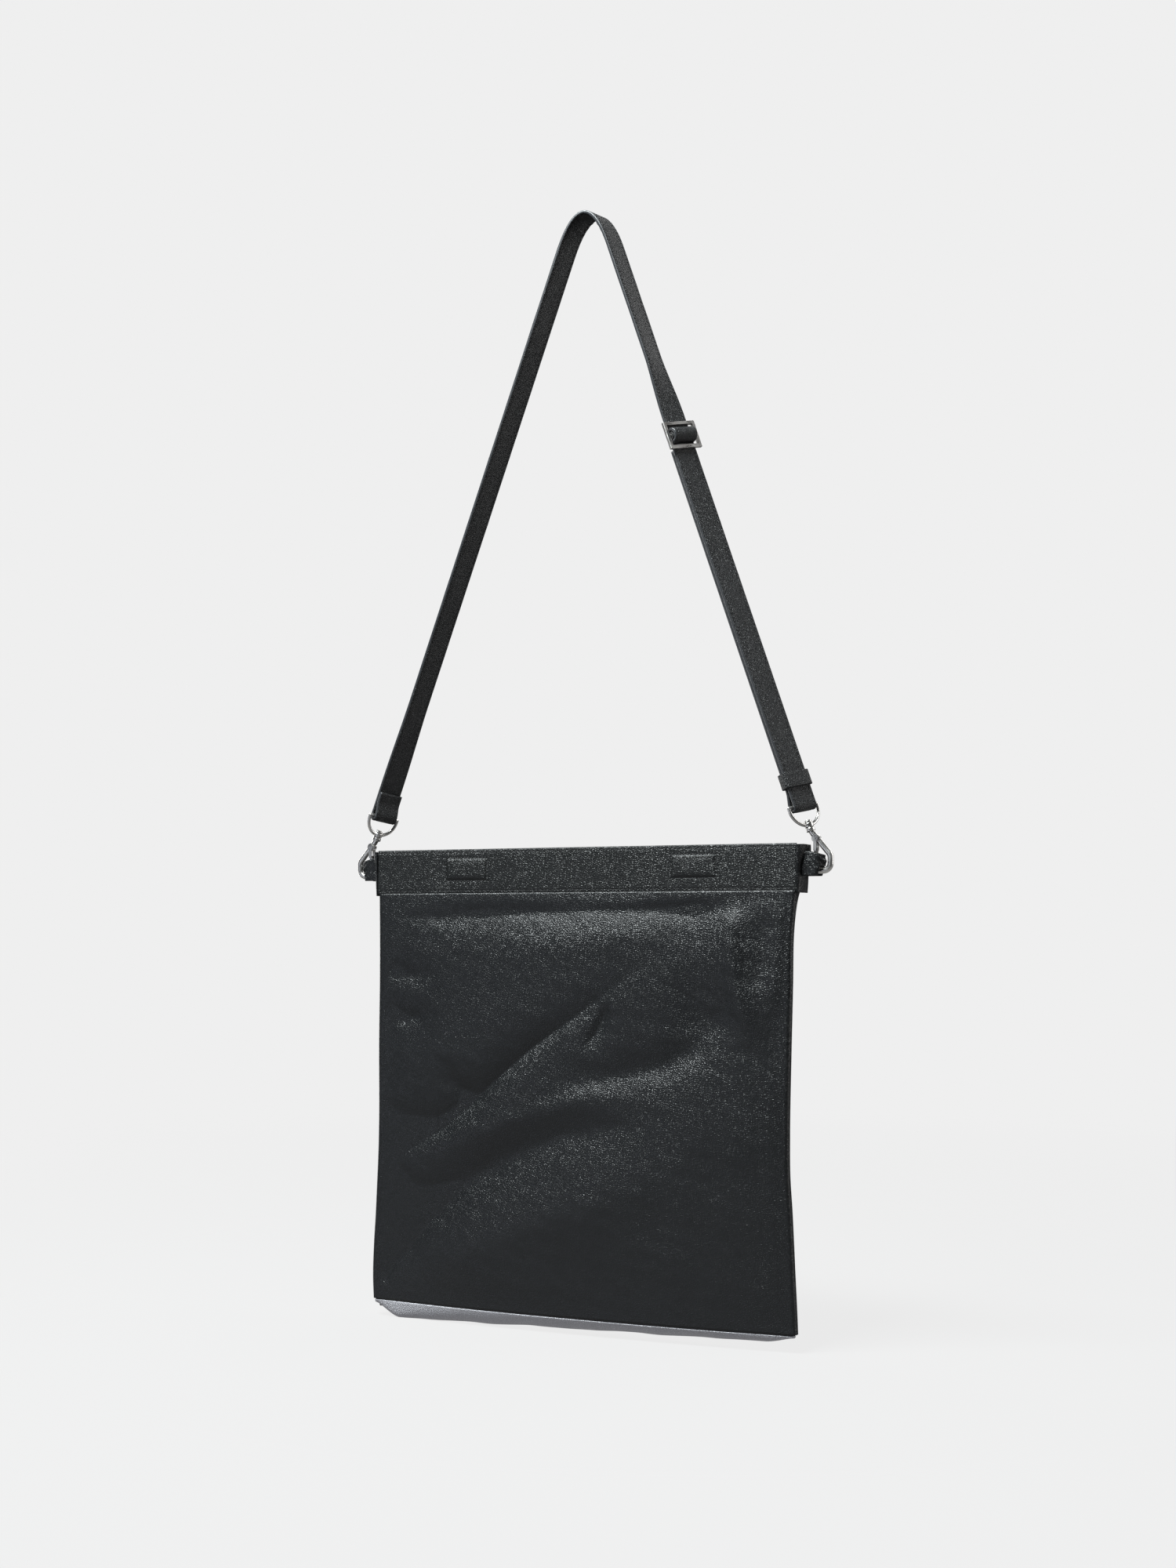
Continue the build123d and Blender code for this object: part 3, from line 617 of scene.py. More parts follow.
seamY = -8.5
body = {"zLevels": [-400.0, -380.0, -350.0, -325.0, -300.0, -270.0, -242.0, -172.0, -116.0, -74.0, -40.0],
        "leftX": [-199.6, -200.6, -199.9, -198.4, -197.3, -196.1, -195.6, -196.2, -195.9, -196.2, -196.8],
        "rightX": [194.6, 193.9, 192.6, 191.6, 190.5, 188.8, 188.8, 190.6, 192.4, 193.6, 197.0],
        "front": [10.5, 11.0, 11.6, 12.0, 12.4, 12.6, 12.6, 11.5, 9.0, 6.0, 2.5],
        "back": [20.5, 20.8, 21.0, 21.0, 21.0, 20.8, 20.4, 19.8, 19.6, 19.8, 19.9],
        "topZ": -38.9, "backTop": 19.7, "shoulder": 6.0, "shoulderTuck": 3.5,
        "seamRoll": 1.7, "leather": 1.7, "columns": 250, "rows": 250}
bodySeamZ = -397.6

# soft folds and ridges: each row is a line of x, z points, the depth at its two ends, the reach
# above and below it, its sharpness, and the shares of its length over which it fades in and out
frontFolds = [
    ([(-200, -264), (-160, -253), (-132, -243), (-101, -222), (-70, -196), (-40, -172), (-2, -147),
      (34, -122), (64, -102), (96, -84)],
     (11, 3), 30, 14, 1, (0.001, 0.5)),
    ([(146, -96), (132, -140), (108, -170), (84, -184), (44, -193), (0, -202), (-36, -222), (-80, -250)],
     (8.5, 5), 36, 20, 9, (0.35, 0.5)),
    ([(-200, -352), (-150, -316), (-105, -290), (-60, -266), (-10, -246), (50, -236), (130, -232)],
     (10.5, 4), 30, 30, 9, (0.1, 0.45)),
    ([(-172, -272), (-175, -320), (-181, -350), (-192, -392)], (5, 4), 13, 9, 2.5, (0.2, 0.2)),
    ([(-190, -62), (-60, -57), (60, -55), (170, -56)], (2.6, 2.4), 10, 16, 3, (0.2, 0.2)),
    ([(33, -130), (22, -156), (6, -178)], (4.4, 3), 9, 10, 1.6, (0.35, 0.4)),
    ([(98, -96), (112, -132), (110, -166)], (3.2, 2.4), 30, 26, 10, (0.5, 0.3)),
    ([(168, -52), (170, -88), (164, -128)], (1.6, 2), 15, 15, 5, (0.3, 0.4)),
    ([(-190, -106), (-160, -112), (-126, -109)], (3.2, 2), 12, 12, 4, (0.2, 0.5)),
    ([(-196, -143), (-168, -149), (-130, -145)], (3.8, 2.2), 12, 12, 3.5, (0.2, 0.5)),
    ([(-136, -178), (-116, -206), (-96, -226)], (2.4, 4.4), 12, 12, 4, (0.5, 0.3)),
]
frontRidges = [
    ([(146, -42), (142, -80), (146, -120), (160, -175)], (4, 4.4), 15, 15, 5, (0.2, 0.4)),
    ([(-140, -272), (-60, -236), (0, -216), (60, -206)], (2, 3), 16, 15, 7, (0.4, 0.4)),
    ([(-176, -388), (-90, -346), (-20, -318), (40, -296), (120, -270)],
     (4.4, 2.6), 34, 50, 12, (0.3, 0.4)),
    ([(190, -44), (182, -95), (174, -150)], (1, 1.6), 13, 13, 5, (0.2, 0.4)),
    ([(-90, -88), (10, -80), (110, -76)], (1.8, 2.6), 22, 28, 9, (0.4, 0.4)),
]
backFolds = [
    ([(196, -240), (140, -232), (80, -205), (20, -170), (-50, -130)],
     (3.6, 0.6), 18, 16, 3, (0.2, 0.2)),
    ([(-190, -300), (-120, -292), (-40, -268), (60, -252)], (3, 0.8), 24, 22, 7, (0.2, 0.2)),
    ([(-150, -60), (0, -56), (150, -60)], (1.6, 1.6), 10, 13, 3, (0.2, 0.2)),
    ([(-120, -90), (-128, -140), (-118, -180)], (2, 1), 16, 16, 6, (0.2, 0.2)),
]


def foldDepth(x, z, fold):
    # distance to the fold's line, signed by which side is above it; the dip is a soft cusp,
    # exp(-(sqrt(d^2 + sharp^2) - sharp) / reach), and its depth runs from one end to the other
    line, depths, above, below, sharp, (begins, ends) = fold
    line = np.array(line, float)
    startAt = alongPath(line)
    best, signed, share = np.full(x.shape, 1e9), np.zeros(x.shape), np.zeros(x.shape)
    for (ax, az), (bx, bz), length, begun in zip(line[:-1], line[1:], np.diff(startAt), startAt[:-1]):
        ux, uz = (bx - ax) / length, (bz - az) / length
        t = np.clip((x - ax) * ux + (z - az) * uz, 0, length)
        dx, dz = x - ax - ux * t, z - az - uz * t
        distance = np.hypot(dx, dz)
        nearer = distance < best
        signed = np.where(nearer, (ux * dz - uz * dx) * (1 if ux >= 0 else -1), signed)
        share = np.where(nearer, (begun + t) / startAt[-1], share)
        best = np.where(nearer, distance, best)
    reach = below + (above - below) * ramp(signed, -2.0, 2.0)
    dip = np.exp(-(np.sqrt(best**2 + sharp**2) - sharp) / reach * 1.6)
    depth = depths[0] + (depths[1] - depths[0]) * share
    return depth * ramp(share, -0.001, begins) * ramp(1 - share, -0.001, ends) * dip


def frontDrape(x, z):
    # outward height over the smooth belly: folds in, ridges out, and slow seeded wrinkles
    total = -sum(foldDepth(x, z, fold) for fold in frontFolds)
    total = total + sum(foldDepth(x, z, ridge) for ridge in frontRidges)
    quiet = 1 - 0.6 * ramp(x, 60, 180) * ramp(-z, 260, 330)
    return total + quiet * (0.5 * wobble(x, z, 21, 5, 130, 40) + 0.10 * wobble(x + z, z, 22, 6, 26, 9))


def backDrape(x, z):
    total = -sum(foldDepth(x, z, fold) for fold in backFolds)
    return total + 0.7 * wobble(x, z, 31, 7, 130, 24) + 0.16 * wobble(x - z, z, 32, 6, 26, 8)


def bodyEdges(z):
    return [smoothCurve(z, body["zLevels"], body[key]) for key in ("leftX", "rightX")]


def shoulderSpread(z):
    # how far the back panel's side edges have swung out to the back band: 1 at the mouth,
    # e^(-distance below it / shoulder) lower down
    return np.exp(np.minimum(z - body["topZ"], 0) / body["shoulder"])


def panelSurface(way, depthName, drape, x01, z, inset=0.0):
    # a panel: belly (1 - s^2) deep between the side seams, plus the drape, which fades at
    # the seams and the mouth; its last millimetres roll round into the side seam
    left, right = bodyEdges(z)
    left, right = left + inset, right - inset
    middle, half = (left + right) / 2, (right - left) / 2
    roll = body["seamRoll"] - 0.4 * min(inset, 1.0)
    s = x01 * 2 - 1
    if way > 0:
        half = half - body["shoulderTuck"] * shoulderSpread(z)
    x = middle + s * half
    fromSeam = half - np.abs(x - middle)
    belly = smoothCurve(z, body["zLevels"], body[depthName]) - roll - inset
    rollOut = roll * np.sqrt(np.clip(1 - (1 - np.clip(fromSeam / roll, 0, 1)) ** 2, 0, 1))
    fade = ramp(fromSeam, 1.0, 13.0) * ramp(-z, 41, 52)
    fade = fade * (0.25 + 0.75 * ramp(z, bodySeamZ + 2, bodySeamZ + 26))
    squeeze = 1 - 0.35 * ramp(-z, 40, 60) * ramp(fromSeam, 14, 0)
    depth = np.maximum(belly, 0.4) * np.clip(1 - s**2, 0, 1) ** (0.92) * squeeze + rollOut
    depth = np.maximum(depth + drape(x, z) * fade, rollOut * 0.8 + 0.1)
    if way > 0:
        depth = depth + (body["backTop"] - inset - depth) * shoulderSpread(z)
    return x, seamY + way * (depth + 0.12), z


def bodyPanel(name, way, depthName, drape):
    # columns crowd towards the side seams, rows are even from the level top down to the bottom seam
    even = np.linspace(0, 1, body["columns"])
    x01 = (0.72 * even + 0.28 * (0.5 - 0.5 * np.cos(math.pi * even)))[None, :]
    z = np.linspace(body["topZ"], bodySeamZ, body["rows"])[:, None]
    x, y, z = np.broadcast_arrays(*panelSurface(way, depthName, drape, x01, z))
    piece = gridPiece(name, fromBag(np.stack([x, y, z], -1)), flip=way < 0, uv=np.dstack([x, z]) * mm)
    thicken(piece, body["leather"])
    finishPiece(piece, leathers["bodyLeather"], None, [depthName + "_panel"])
    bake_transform(piece)


panels = ((-1, "front", frontDrape), (1, "back", backDrape))
for panel in panels:
    bodyPanel(panel[1] + "Panel", *panel)
print("body panels done")


def seamLine(way, depthName, drape, count, out=0.0):
    # the low edge of a panel, moved out by out
    level = np.full(count, bodySeamZ)
    x, y, _ = panelSurface(way, depthName, drape, np.linspace(0.004, 0.996, count), level)
    return np.stack([x, y + way * out, level], -1)


bottom = {"dropLeft": 14.2, "dropRight": 4.8, "cornerRun": 26.0, "columns": 160, "rows": 60}


def bottomSurface(t, u):
    # t runs from the front seam to the back seam, u along the bag; the leather sags
    # drop * (1 - |2t - 1|^2.6), and the drop fades to nothing at both corners
    front, back = (seamLine(*panel, len(u)) for panel in panels)
    x = front[:, 0]
    drop = np.interp(x, [-198, 194], [bottom["dropLeft"], bottom["dropRight"]])
    fromEnd = np.minimum(x - x[0], x[-1] - x)
    drop = drop * (0.10 + 0.90 * ramp(fromEnd, 0, bottom["cornerRun"]) ** 0.8)
    lean = 0.5 * (1 + np.sin(math.pi * (t[:, None] - 0.5)))
    y = front[:, 1] + (back[:, 1] - front[:, 1]) * (0.25 * lean + 0.75 * t[:, None])
    z = front[:, 2] - 0.6 - drop * (1 - np.abs(2 * t[:, None] - 1) ** 2.6)
    sway = 0.5 * wobble(np.broadcast_to(x, z.shape), y, 41, 6, 90, 18)
    z = z + sway * ramp(np.minimum(t, 1 - t), 0.03, 0.2)[:, None]
    return np.stack([np.broadcast_to(x, z.shape), y, z], -1)


t01, u01 = np.linspace(0, 1, bottom["rows"]), np.linspace(0, 1, bottom["columns"])
bottomPanel = gridPiece("bottomPanel", fromBag(bottomSurface(t01, u01)), flip=True)
thicken(bottomPanel, body["leather"])
# the bottom panel's light grey colour is a painted reflection of the bright floor
finishPiece(bottomPanel, leathers["bottomLeatherPaintedReflection"], "bag", ["bottom_panel"])

# rolled edge along both bottom seams, thinner at its ends, and its stitches
pipe = {"radius": 1.35, "endRun": 14.0}
turns = np.linspace(0, 2 * math.pi, 14, endpoint=False)
pipeProfile = np.c_[np.cos(turns), np.sin(turns)] * pipe["radius"] * mm
seamStitches = []
for way, word, drape in panels:
    line = fromBag(seamLine(way, word, drape, 320, 0.35))
    runLength = np.linalg.norm(line - line[0], axis=1) / mm
    taper = 0.45 + 0.55 * ramp(np.minimum(runLength, runLength[-1] - runLength), 0, pipe["endRun"])
    up = np.broadcast_to([0.0, 0.0, 1.0], line.shape)
    piping = sweep(word + "BottomPiping", line, up, pipeProfile[None] * taper[:, None, None])
    finishPiece(piping, leathers["pipingLeather"], "bag",
                ["bottom_piping"] if way < 0 else [])
    below = bottomSurface(np.array([0.06, 0.94]), u01)[0 if way < 0 else 1][4:-4]
    seamStitches.append(stitchLine(fromBag(below + [0, way * 0.1, -0.15]), [0.0, way * 0.7, -0.7]))
sew("bottomStitches", seamStitches, "bag")
print("bottom and piping done")

lining = {"inset": 2.6, "top": -41.0, "middleY": seamY + 5, "cloth": 0.5, "rows": 90, "columns": 70}


def liningShell():
    # a closed loop at each level, a little inside both panels, shut at the bottom
    levels = np.linspace(lining["top"], bodySeamZ - 1.0, lining["rows"])[:, None]
    x01 = np.linspace(0.0, 1.0, lining["columns"])[None, :]
    front, back = (np.stack(np.broadcast_arrays(*panelSurface(*panel, x01, levels, lining["inset"])), -1)
                   for panel in panels)
    points = np.concatenate([front, back[:, ::-1][:, 1:-1]], axis=1)
    sunk = points[-1:].copy()
    sunk[..., 1] = lining["middleY"] + (sunk[..., 1] - lining["middleY"]) * 0.4
    sunk[..., 2] -= np.interp(sunk[..., 0], [-198, 194], [6.5, 1.0])
    shut = sunk.copy()
    shut[..., 1] = lining["middleY"]
    points = np.concatenate([points, sunk, shut])
    piece = weld(gridPiece("liningBag", fromBag(points), wrapColumns=True), 1e-5)
    thicken(piece, lining["cloth"])
    finishPiece(piece, liningCotton, "bag", ["lining"])


liningShell()
print("lining done")

gusset = {"bulge": 5.6, "footBulge": 1.2, "top": -1.0, "foot": -40.6, "footHalf": 10.9, "leather": 1.5,
          "edge": 0.3, "shoulderFoot": -86.0}


def gussetHalf(name, side, way, stands):
    # half of the fold that closes an end of the mouth: round bulge sin(a), narrowing downwards
    level = np.linspace(0, 1, 60)[:, None]
    a = np.linspace(0, math.pi / 2, 24)[None, :]
    z = gusset["top"] + (gusset["foot"] - gusset["top"]) * level
    halfDepth = (faceOuter - 0.2) + (gusset["footHalf"] - faceOuter + 0.2) * level**1.15
    bulge = gusset["bulge"] + (gusset["footBulge"] - gusset["bulge"]) * level
    pinch = 1 + 0.16 * np.sin(3 * math.pi * level) * np.sin(2 * a)
    x = bandHalf + gusset["edge"] + bulge * np.cos(a) ** 0.8 * pinch
    y = way * halfDepth * np.sin(a) * np.ones_like(level)
    points = np.stack([side * x, y, np.broadcast_to(z, y.shape)], -1)
    piece = gridPiece(name, fromBag(points), flip=(side * way > 0))
    thicken(piece, gusset["leather"])
    finishPiece(piece, leathers["bodyLeather"], None, stands)
    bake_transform(piece)


def shoulderStrip(name, side):
    # closes the side between the front panel's edge and the back panel's edge, which part
    # towards the mouth; across the gap it swells by bulge * sin(pi t)
    z = np.linspace(body["topZ"] + 0.3, gusset["shoulderFoot"], 60)[:, None]
    t = np.linspace(0, 1, 20)[None, :]
    spread = shoulderSpread(z)
    edge = bodyEdges(z)[0 if side < 0 else 1]
    front = seamY - 0.25
    back = seamY + 0.45 + body["backTop"] * spread
    x = edge + side * (0.15 + (0.25 + gusset["footBulge"] * spread) * np.sin(math.pi * t)
                       - body["shoulderTuck"] * spread * t)
    y = front + (back - front) * t
    piece = gridPiece(name, fromBag(np.stack([x, y, np.broadcast_to(z, y.shape)], -1)), flip=side < 0)
    thicken(piece, gusset["leather"])
    finishPiece(piece, leathers["bodyLeather"], "bag")


for side, word in ((-1, "left"), (1, "right")):
    shoulderStrip(word + "Shoulder", side)
    gussetHalf(word + "GussetFront", side, -1, [word + "_end_gusset"])
    gussetHalf(word + "GussetBack", side, 1, [])
print("end gussets done")

tab = {"leather": 2.1, "hole": 6.0, "reach": 21.5, "top": -5.0, "low": -27.0, "cornerDrop": 4.7,
       "notchZ": -19.0, "root": 0.4, "wrinkle": 0.42, "wave": 4.6, "straight": 18, "turn": 30, "across": 34,
       "stitchShares": (0.09, 0.91), "pitch": 3.4, "thread": 0.45}


def foldedTab(name, side, seed):
    # a strip whose middle line runs out along the front, round the fold and back;
    # its top slants down to the fold, its low edge rises there over the hook
    outer = tab["hole"] + tab["leather"] / 2
    rootX = bandHalf + gusset["edge"] + tab["root"]
    bendX = bandHalf + tab["reach"] - tab["hole"] - tab["leather"]
    straight = np.linspace(rootX, bendX, tab["straight"])[:-1]
    turn = np.linspace(-math.pi / 2, math.pi / 2, tab["turn"])
    plan = np.vstack([np.c_[straight, np.full(len(straight), -outer)],
                      np.c_[bendX + outer * np.cos(turn), outer * np.sin(turn)],
                      np.c_[straight[::-1], np.full(len(straight), outer)]])
    heading = unit(np.gradient(plan, axis=0))
    out = np.c_[heading[:, 1], -heading[:, 0]]
    towardFold = ramp(plan[:, 0], rootX, bendX + outer)
    inFold = 1 - ramp(np.abs(plan[:, 1]), tab["hole"] - 0.9, tab["hole"] + 0.5)
    top = tab["top"] - tab["cornerDrop"] * (plan[:, 0] - rootX) / (bendX + outer - rootX)
    low = tab["low"] + (tab["notchZ"] - tab["low"]) * inFold
    v = np.linspace(0, 1, tab["across"])
    arch = np.sin(math.pi * v)
    halfWall = tab["leather"] / 2 * (0.35 + 0.65 * np.clip(arch, 0, 1) ** 0.18)
    z = low[:, None] + (top - low)[:, None] * v[None]
    slant = (plan[:, 0] - rootX)[:, None] * 0.9 + z * 0.75
    waves = np.sin(slant * 2 * math.pi / tab["wave"] + seed)
    wrinkle = tab["wrinkle"] * towardFold[:, None] * waves * arch
    wrinkle = wrinkle + 0.25 * wobble(plan[:, :1], z, seed, 5, 16, 5)
    def shell(sign):
        offset = sign * halfWall[None] + wrinkle
        x, y = (plan[:, k:k + 1] + out[:, k:k + 1] * offset for k in range(2))
        return np.stack([side * x, y, z], -1)
    points = np.concatenate([shell(1), shell(-1)[:, ::-1]], axis=1)
    piece = weld(gridPiece(name, fromBag(closeEnds(points)), wrapColumns=True))
    rows = []
    for share in tab["stitchShares"]:
        line = shell(1)[:, int(share * (tab["across"] - 1))]
        for part, way in ((line[:15], -1), (line[-15:], 1)):
            rows.append(stitchLine(fromBag(part), [0.0, way, 0.0], tab["pitch"]))
    sew(name + "Stitches", rows, "bag", tab["thread"])
    finishPiece(piece, leathers["bodyLeather"], "bag", [name.replace("Tab", "_tab")])


foldedTab("leftTab", -1, 61)
foldedTab("rightTab", 1, 62)
print("tabs done")

strap = {"width": 23.0, "thickness": 3.0, "wire": 3.0, "barGap": 0.25, "layerGap": 0.15,
         "bodyThickness": 3.2, "foldStart": 14.0, "tail": 22.0, "returnTop": 326.0, "bendShort": 66.0,
         "bendPull": 45.0, "sliderUp": 338.0, "turnLeft": 11.0, "turnRight": 20.0, "stitchInset": 2.4,
         "columns": 900, "thread": 0.5}
layerOut = (strap["wire"] / 2 + strap["barGap"] + strap["bodyThickness"] / 2) * mm
returnOut = layerOut - (strap["bodyThickness"] + strap["layerGap"]) * mm


def runAxes(word):
    # bar's middle, heading up the strap, out of its outer face, and along the bar
    swing, swivel = joints[word + "_loop_swing"], joints[word + "_hook_swivel"]
    bar = np.array(swing["pos_m"], float)
    up = -unit(np.array(swivel["axis"], float))
    along = unit(np.array(swing["axis"], float))
    return bar, up, unit(np.cross(up, along)), along


def crestPoint():
    # where both runs' lines of pull cross, in the plane of the bag's length and height
    (barL, upL, _, _), (barR, upR, _, _) = runAxes("left"), runAxes("right")
    lhs = np.array([[upL[0], -upR[0]], [upL[2], -upR[2]]])
    reach = np.linalg.solve(lhs, [barR[0] - barL[0], barR[2] - barL[2]])
    return barL + upL * reach[0]


def runPoints(word, top):
    # inner layer down, round the bar, and up the outer layer, in the run's own plane
    bar, up, out, along = runAxes(word)
    length = np.linalg.norm(crestPoint() - bar) - strap["bendShort"] * mm
    innerUp = np.linspace(top, strap["foldStart"], max(int((top - strap["foldStart"]) / 3), 6)) * mm
    inner = np.c_[np.full(len(innerUp), returnOut), innerUp]
    ease = np.linspace(0, 1, 12)[1:-1]
    easing = np.c_[returnOut - (layerOut + returnOut) * ramp(ease, 0, 1),
                   strap["foldStart"] * (1 - ease) * mm]
    turn = np.linspace(math.pi, 2 * math.pi, 26)
    roundBar = np.c_[layerOut * np.cos(turn), layerOut * np.sin(turn)]
    outerUp = np.linspace(0, length, int(length / (3 * mm)))[1:]
    outer = np.c_[np.full(len(outerUp), layerOut), outerUp]
    flat = np.vstack([inner, easing, roundBar, outer])
    return bar + out * flat[:, :1] + up * flat[:, 1:], flat, up, along


def turned(vector, axis, degrees):
    # vector turned about axis by degrees (one per row)
    a = np.radians(degrees)[:, None]
    return (vector * np.cos(a) + np.cross(axis, vector) * np.sin(a)
            + axis * (vector @ axis)[..., None] * (1 - np.cos(a)))


def strapPath():
    left, flatL, upL, alongL = runPoints("left", strap["tail"])
    right, flatR, upR, alongR = runPoints("right", strap["returnTop"])
    # the width's heading turns a little more edge-on away from the hardware
    outerL = (np.arange(len(flatL)) > len(flatL) / 6) & (flatL[:, 0] > 0)
    twistL = strap["turnLeft"] * ramp(flatL[:, 1] / mm, 28, 110) * outerL
    sideL = turned(np.broadcast_to(-alongL, left.shape), upL, twistL)
    outerR = flatR[:, 0] >= layerOut - 1e-9
    pastSlider = flatR[:, 1] / mm - strap["sliderUp"]
    twistR = strap["turnRight"] * ramp(pastSlider, 16, 80) * outerR
    sideR = turned(np.broadcast_to(-alongR, right.shape), upR, twistR)
    if (sideL[-1] @ sideR[-1]) < 0:
        sideR = -sideR
    pull = strap["bendPull"] * mm
    p0, p3 = left[-1], right[-1]
    p1, p2 = p0 + upL * pull, p3 + upR * pull
    t = np.linspace(0, 1, 46)[1:-1, None]
    bend = p0 * (1 - t)**3 + 3 * p1 * t * (1 - t)**2 + 3 * p2 * t**2 * (1 - t) + p3 * t**3
    sideBend = sideL[-1] * (1 - t) + sideR[-1] * t
    path = np.vstack([left, bend, right[::-1]])
    side = np.vstack([sideL, unit(sideBend), sideR[::-1]])
    along = alongPath(path)
    even = np.linspace(0, along[-1], strap["columns"])
    path, side = readAt(even, along, path), unit(readAt(even, along, side))
    return path, side, even, even[np.argmax(path[:, 2])]


def stitchStrap(name, path, side, faces, bite, trim, body):
    # a row near each long edge, on the faces asked for
    outward = unit(np.cross(side, unit(np.gradient(path, axis=0))))
    inset = (strap["width"] / 2 - strap["stitchInset"]) * mm
    rows = []
    for across in (-inset, inset):
        for face in faces:
            line = path + side * across + outward * face * (strap["thickness"] / 2 - bite) * mm
            rows.append(stitchLine(line[trim:len(line) - trim], (outward * face)[trim:len(line) - trim]))
    sew(name, rows, body, strap["thread"])


def strapPiece():
    path, side, along, crest = strapPath()
    profile = slabProfile(strap["width"] * mm, strap["thickness"] * mm, across=15)
    fromCrest = (along - crest) / mm
    # thin creases across the tight bend, and two stitched valleys near the edges
    crease = 0.35 * np.exp(-(fromCrest / 26) ** 2) * np.cos(2 * math.pi * fromCrest / 6.5)
    across = np.abs(profile[:, 0]) / mm
    nearStitch = np.exp(-((across - strap["width"] / 2 + strap["stitchInset"]) / 0.7) ** 2)
    inner = (profile[:, 1] < 0)
    faceWay = np.sign(profile[:, 1])
    uneven = 0.10 * wobble(along[:, None] / mm, profile[None, :, 0] / mm, 51, 7, 60, 9)
    lift = faceWay[None] * (crease[:, None] * inner[None] - 0.18 * nearStitch[None] + uneven) * mm
    edge = np.abs(profile[:, 1]) < (strap["thickness"] / 2 - 0.3) * mm
    lift = lift * ~edge[None]
    piece = sweep("strapBand", path, side, profile, lift)
    finishPiece(piece, edgedStrap, "root", ["strap", "strap_sewn_tail"])
    paintEdgesAndHighlight(piece, path, side)
    stitchStrap("strapStitches", path, side, (-1, 1), 0.1, 3, "root")


def paintEdgesAndHighlight(piece, path, side):
    # faces that look along the strap's width are its painted edges; their material is real edge paint, made
    # lighter so it also paints a highlight along the edges
    mesh = piece.data
    count = len(mesh.polygons)
    centres, normals = np.zeros(count * 3), np.zeros(count * 3)
    mesh.polygons.foreach_get("center", centres)
    mesh.polygons.foreach_get("normal", normals)
    centres, normals = centres.reshape(-1, 3), normals.reshape(-1, 3)
    order = np.zeros(count, int)
    for begin in range(0, count, 4000):
        part = centres[begin:begin + 4000]
        order[begin:begin + 4000] = np.argmin(((part[:, None] - path[None]) ** 2).sum(-1), axis=1)
    facing = np.abs(np.sum(normals * side[order], -1))
    mesh.polygons.foreach_set("material_index", (facing > 0.6).astype(np.int32))


strapPiece()
print("strap done")

roll = {"centreBar": 1.3, "endLoop": 2.0, "gap": 0.4, "sliderBar": 3.0, "slideGap": 0.3}


def sliderPlane():
    # the slider's middle, and the right run's headings
    bar, up, out, along = runAxes("right")
    n = layerOut + (strap["bodyThickness"] / 2 + roll["slideGap"] + roll["sliderBar"] / 2) * mm
    return bar + up * strap["sliderUp"] * mm + out * n, up, out, along


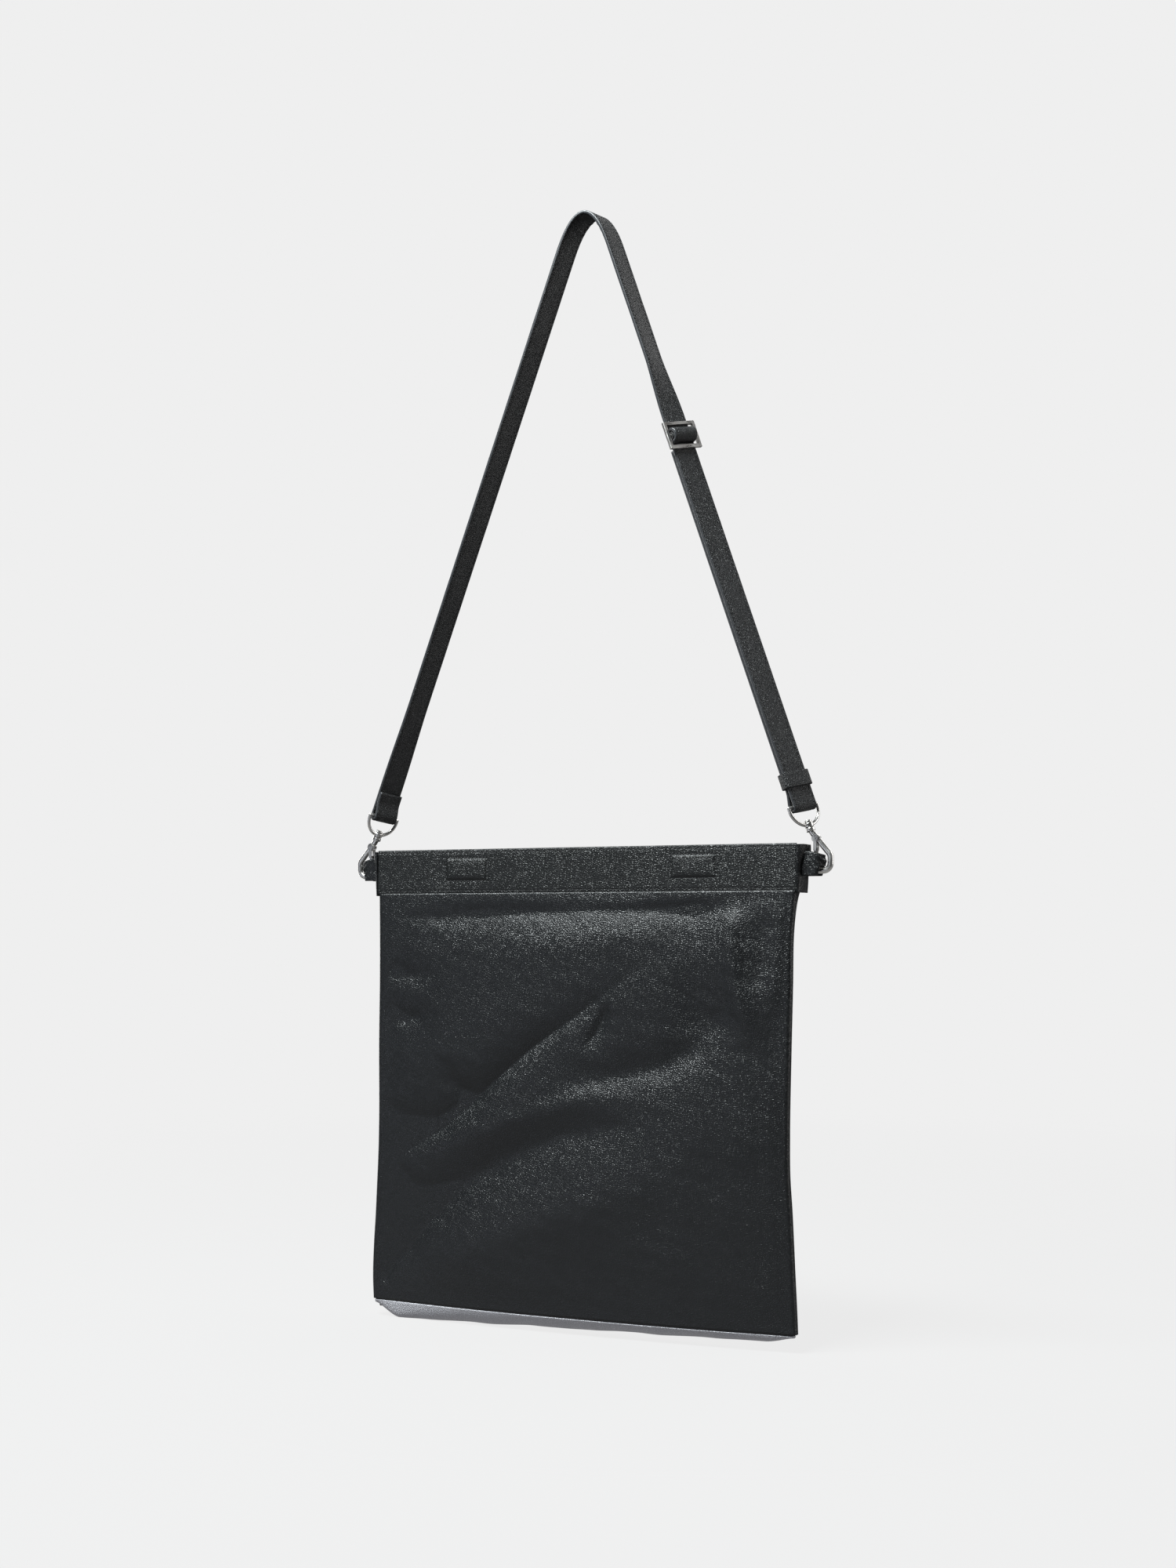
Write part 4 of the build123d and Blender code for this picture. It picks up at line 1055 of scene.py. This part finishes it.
def sliderRoll():
    # the strap's roll over the centre bar: it rises from behind, bulges out and goes back in
    middle, up, out, along = sliderPlane()
    radius = (roll["centreBar"] + roll["endLoop"] + roll["gap"] + strap["thickness"] / 2 + 0.1) * mm
    foot = roll["sliderBar"] / 2 * mm
    turn = np.linspace(-math.pi / 2, math.pi / 2, 36)
    flat = np.vstack([np.c_[np.linspace(-foot, 0, 5)[:-1], np.full(4, -radius)],
                      np.c_[radius * 1.12 * np.cos(turn), radius * np.sin(turn)],
                      np.c_[np.linspace(0, -foot, 5)[1:], np.full(4, radius)]])
    path = middle + out * flat[:, :1] + up * flat[:, 1:]
    profile = slabProfile(strap["width"] * mm, strap["thickness"] * mm, across=13)
    side = np.broadcast_to(along, path.shape)
    piece = sweep("sliderRoll", path, side, profile)
    finishPiece(piece, edgedStrap, "slider", ["strap_roll"])
    paintEdgesAndHighlight(piece, path, side)
    stitchStrap("rollStitches", path, side, (1,), 0.08, 0, "slider")
    inner = (roll["centreBar"] + 0.1 + roll["endLoop"] / 2) * mm
    turn = np.linspace(-math.pi * 0.62, math.pi * 0.62, 34)
    flat = np.c_[inner * np.cos(turn), inner * np.sin(turn)]
    path = middle + out * flat[:, :1] + up * flat[:, 1:]
    profile = slabProfile(strap["width"] * mm, (roll["endLoop"] - 0.1) * mm, corner=0.0006, across=9)
    piece = sweep("strapEndLoop", path, np.broadcast_to(along, path.shape), profile)
    finishPiece(piece, leathers["strapLeather"], "slider", ["strap_end_loop"])


sliderRoll()

keeper = {"up": 22.5, "height": 13.0, "leather": 1.8, "gap": 0.45, "squareness": 0.32, "columns": 120}


def keeperLoop():
    # a rounded rectangle round both layers, carried as a closed leather strip
    bar, up, out, along = runAxes("right")
    outerFace = layerOut + strap["bodyThickness"] / 2 * mm
    innerFace = returnOut - strap["bodyThickness"] / 2 * mm
    middleOut = (outerFace + innerFace) / 2
    wall = keeper["leather"] * mm
    halfOut = (outerFace - innerFace) / 2 + keeper["gap"] * mm + wall / 2
    halfAlong = strap["width"] / 2 * mm + keeper["gap"] * mm + wall / 2
    turn = np.linspace(0, 2 * math.pi, 96, endpoint=False)
    a, b = (np.sign(wave) * np.abs(wave) ** keeper["squareness"] * half
            for wave, half in ((np.cos(turn), halfAlong), (np.sin(turn), halfOut)))
    ring = bar + up * keeper["up"] * mm + out * (middleOut + b)[:, None] + along * a[:, None]
    ring = np.vstack([ring, ring[:1]])
    around = alongPath(ring)
    ring = readAt(np.linspace(0, around[-1], keeper["columns"] + 1), around, ring)[:-1]
    heading = unit(np.roll(ring, -1, axis=0) - np.roll(ring, 1, axis=0))
    profile = slabProfile(keeper["height"] * mm, wall, corner=0.0005, across=11)
    normal = np.cross(heading, up)
    points = ring[:, None] + up * profile[None, :, :1] + normal[:, None] * profile[None, :, 1:]
    piece = weld(gridPiece("keeperLoop", points, wrapRows=True, wrapColumns=True))
    finishPiece(piece, edgedStrap, "keeper", ["keeper"])


keeperLoop()
print("slider roll and keeper done")


def repaint(nodeName, material):
    # a part that keeps its frame mesh gets a better material
    target = frame["nodes"][nodeName]
    if not target.material_slots:
        target.data.materials.append(material)
    for holder in target.material_slots:
        holder.material = material


for word in ("left", "right"):
    for ending in ("d_loop", "hook", "gate", "gate_pin", "swivel_rivet"):
        repaint(word + "_" + ending, satinNickel)
    repaint(word + "_gate_spring", springSteel)
repaint("slider", satinNickel)
repaint("front_magnets", magnetPlate)
repaint("back_magnets", magnetPlate)
print("metal finished")
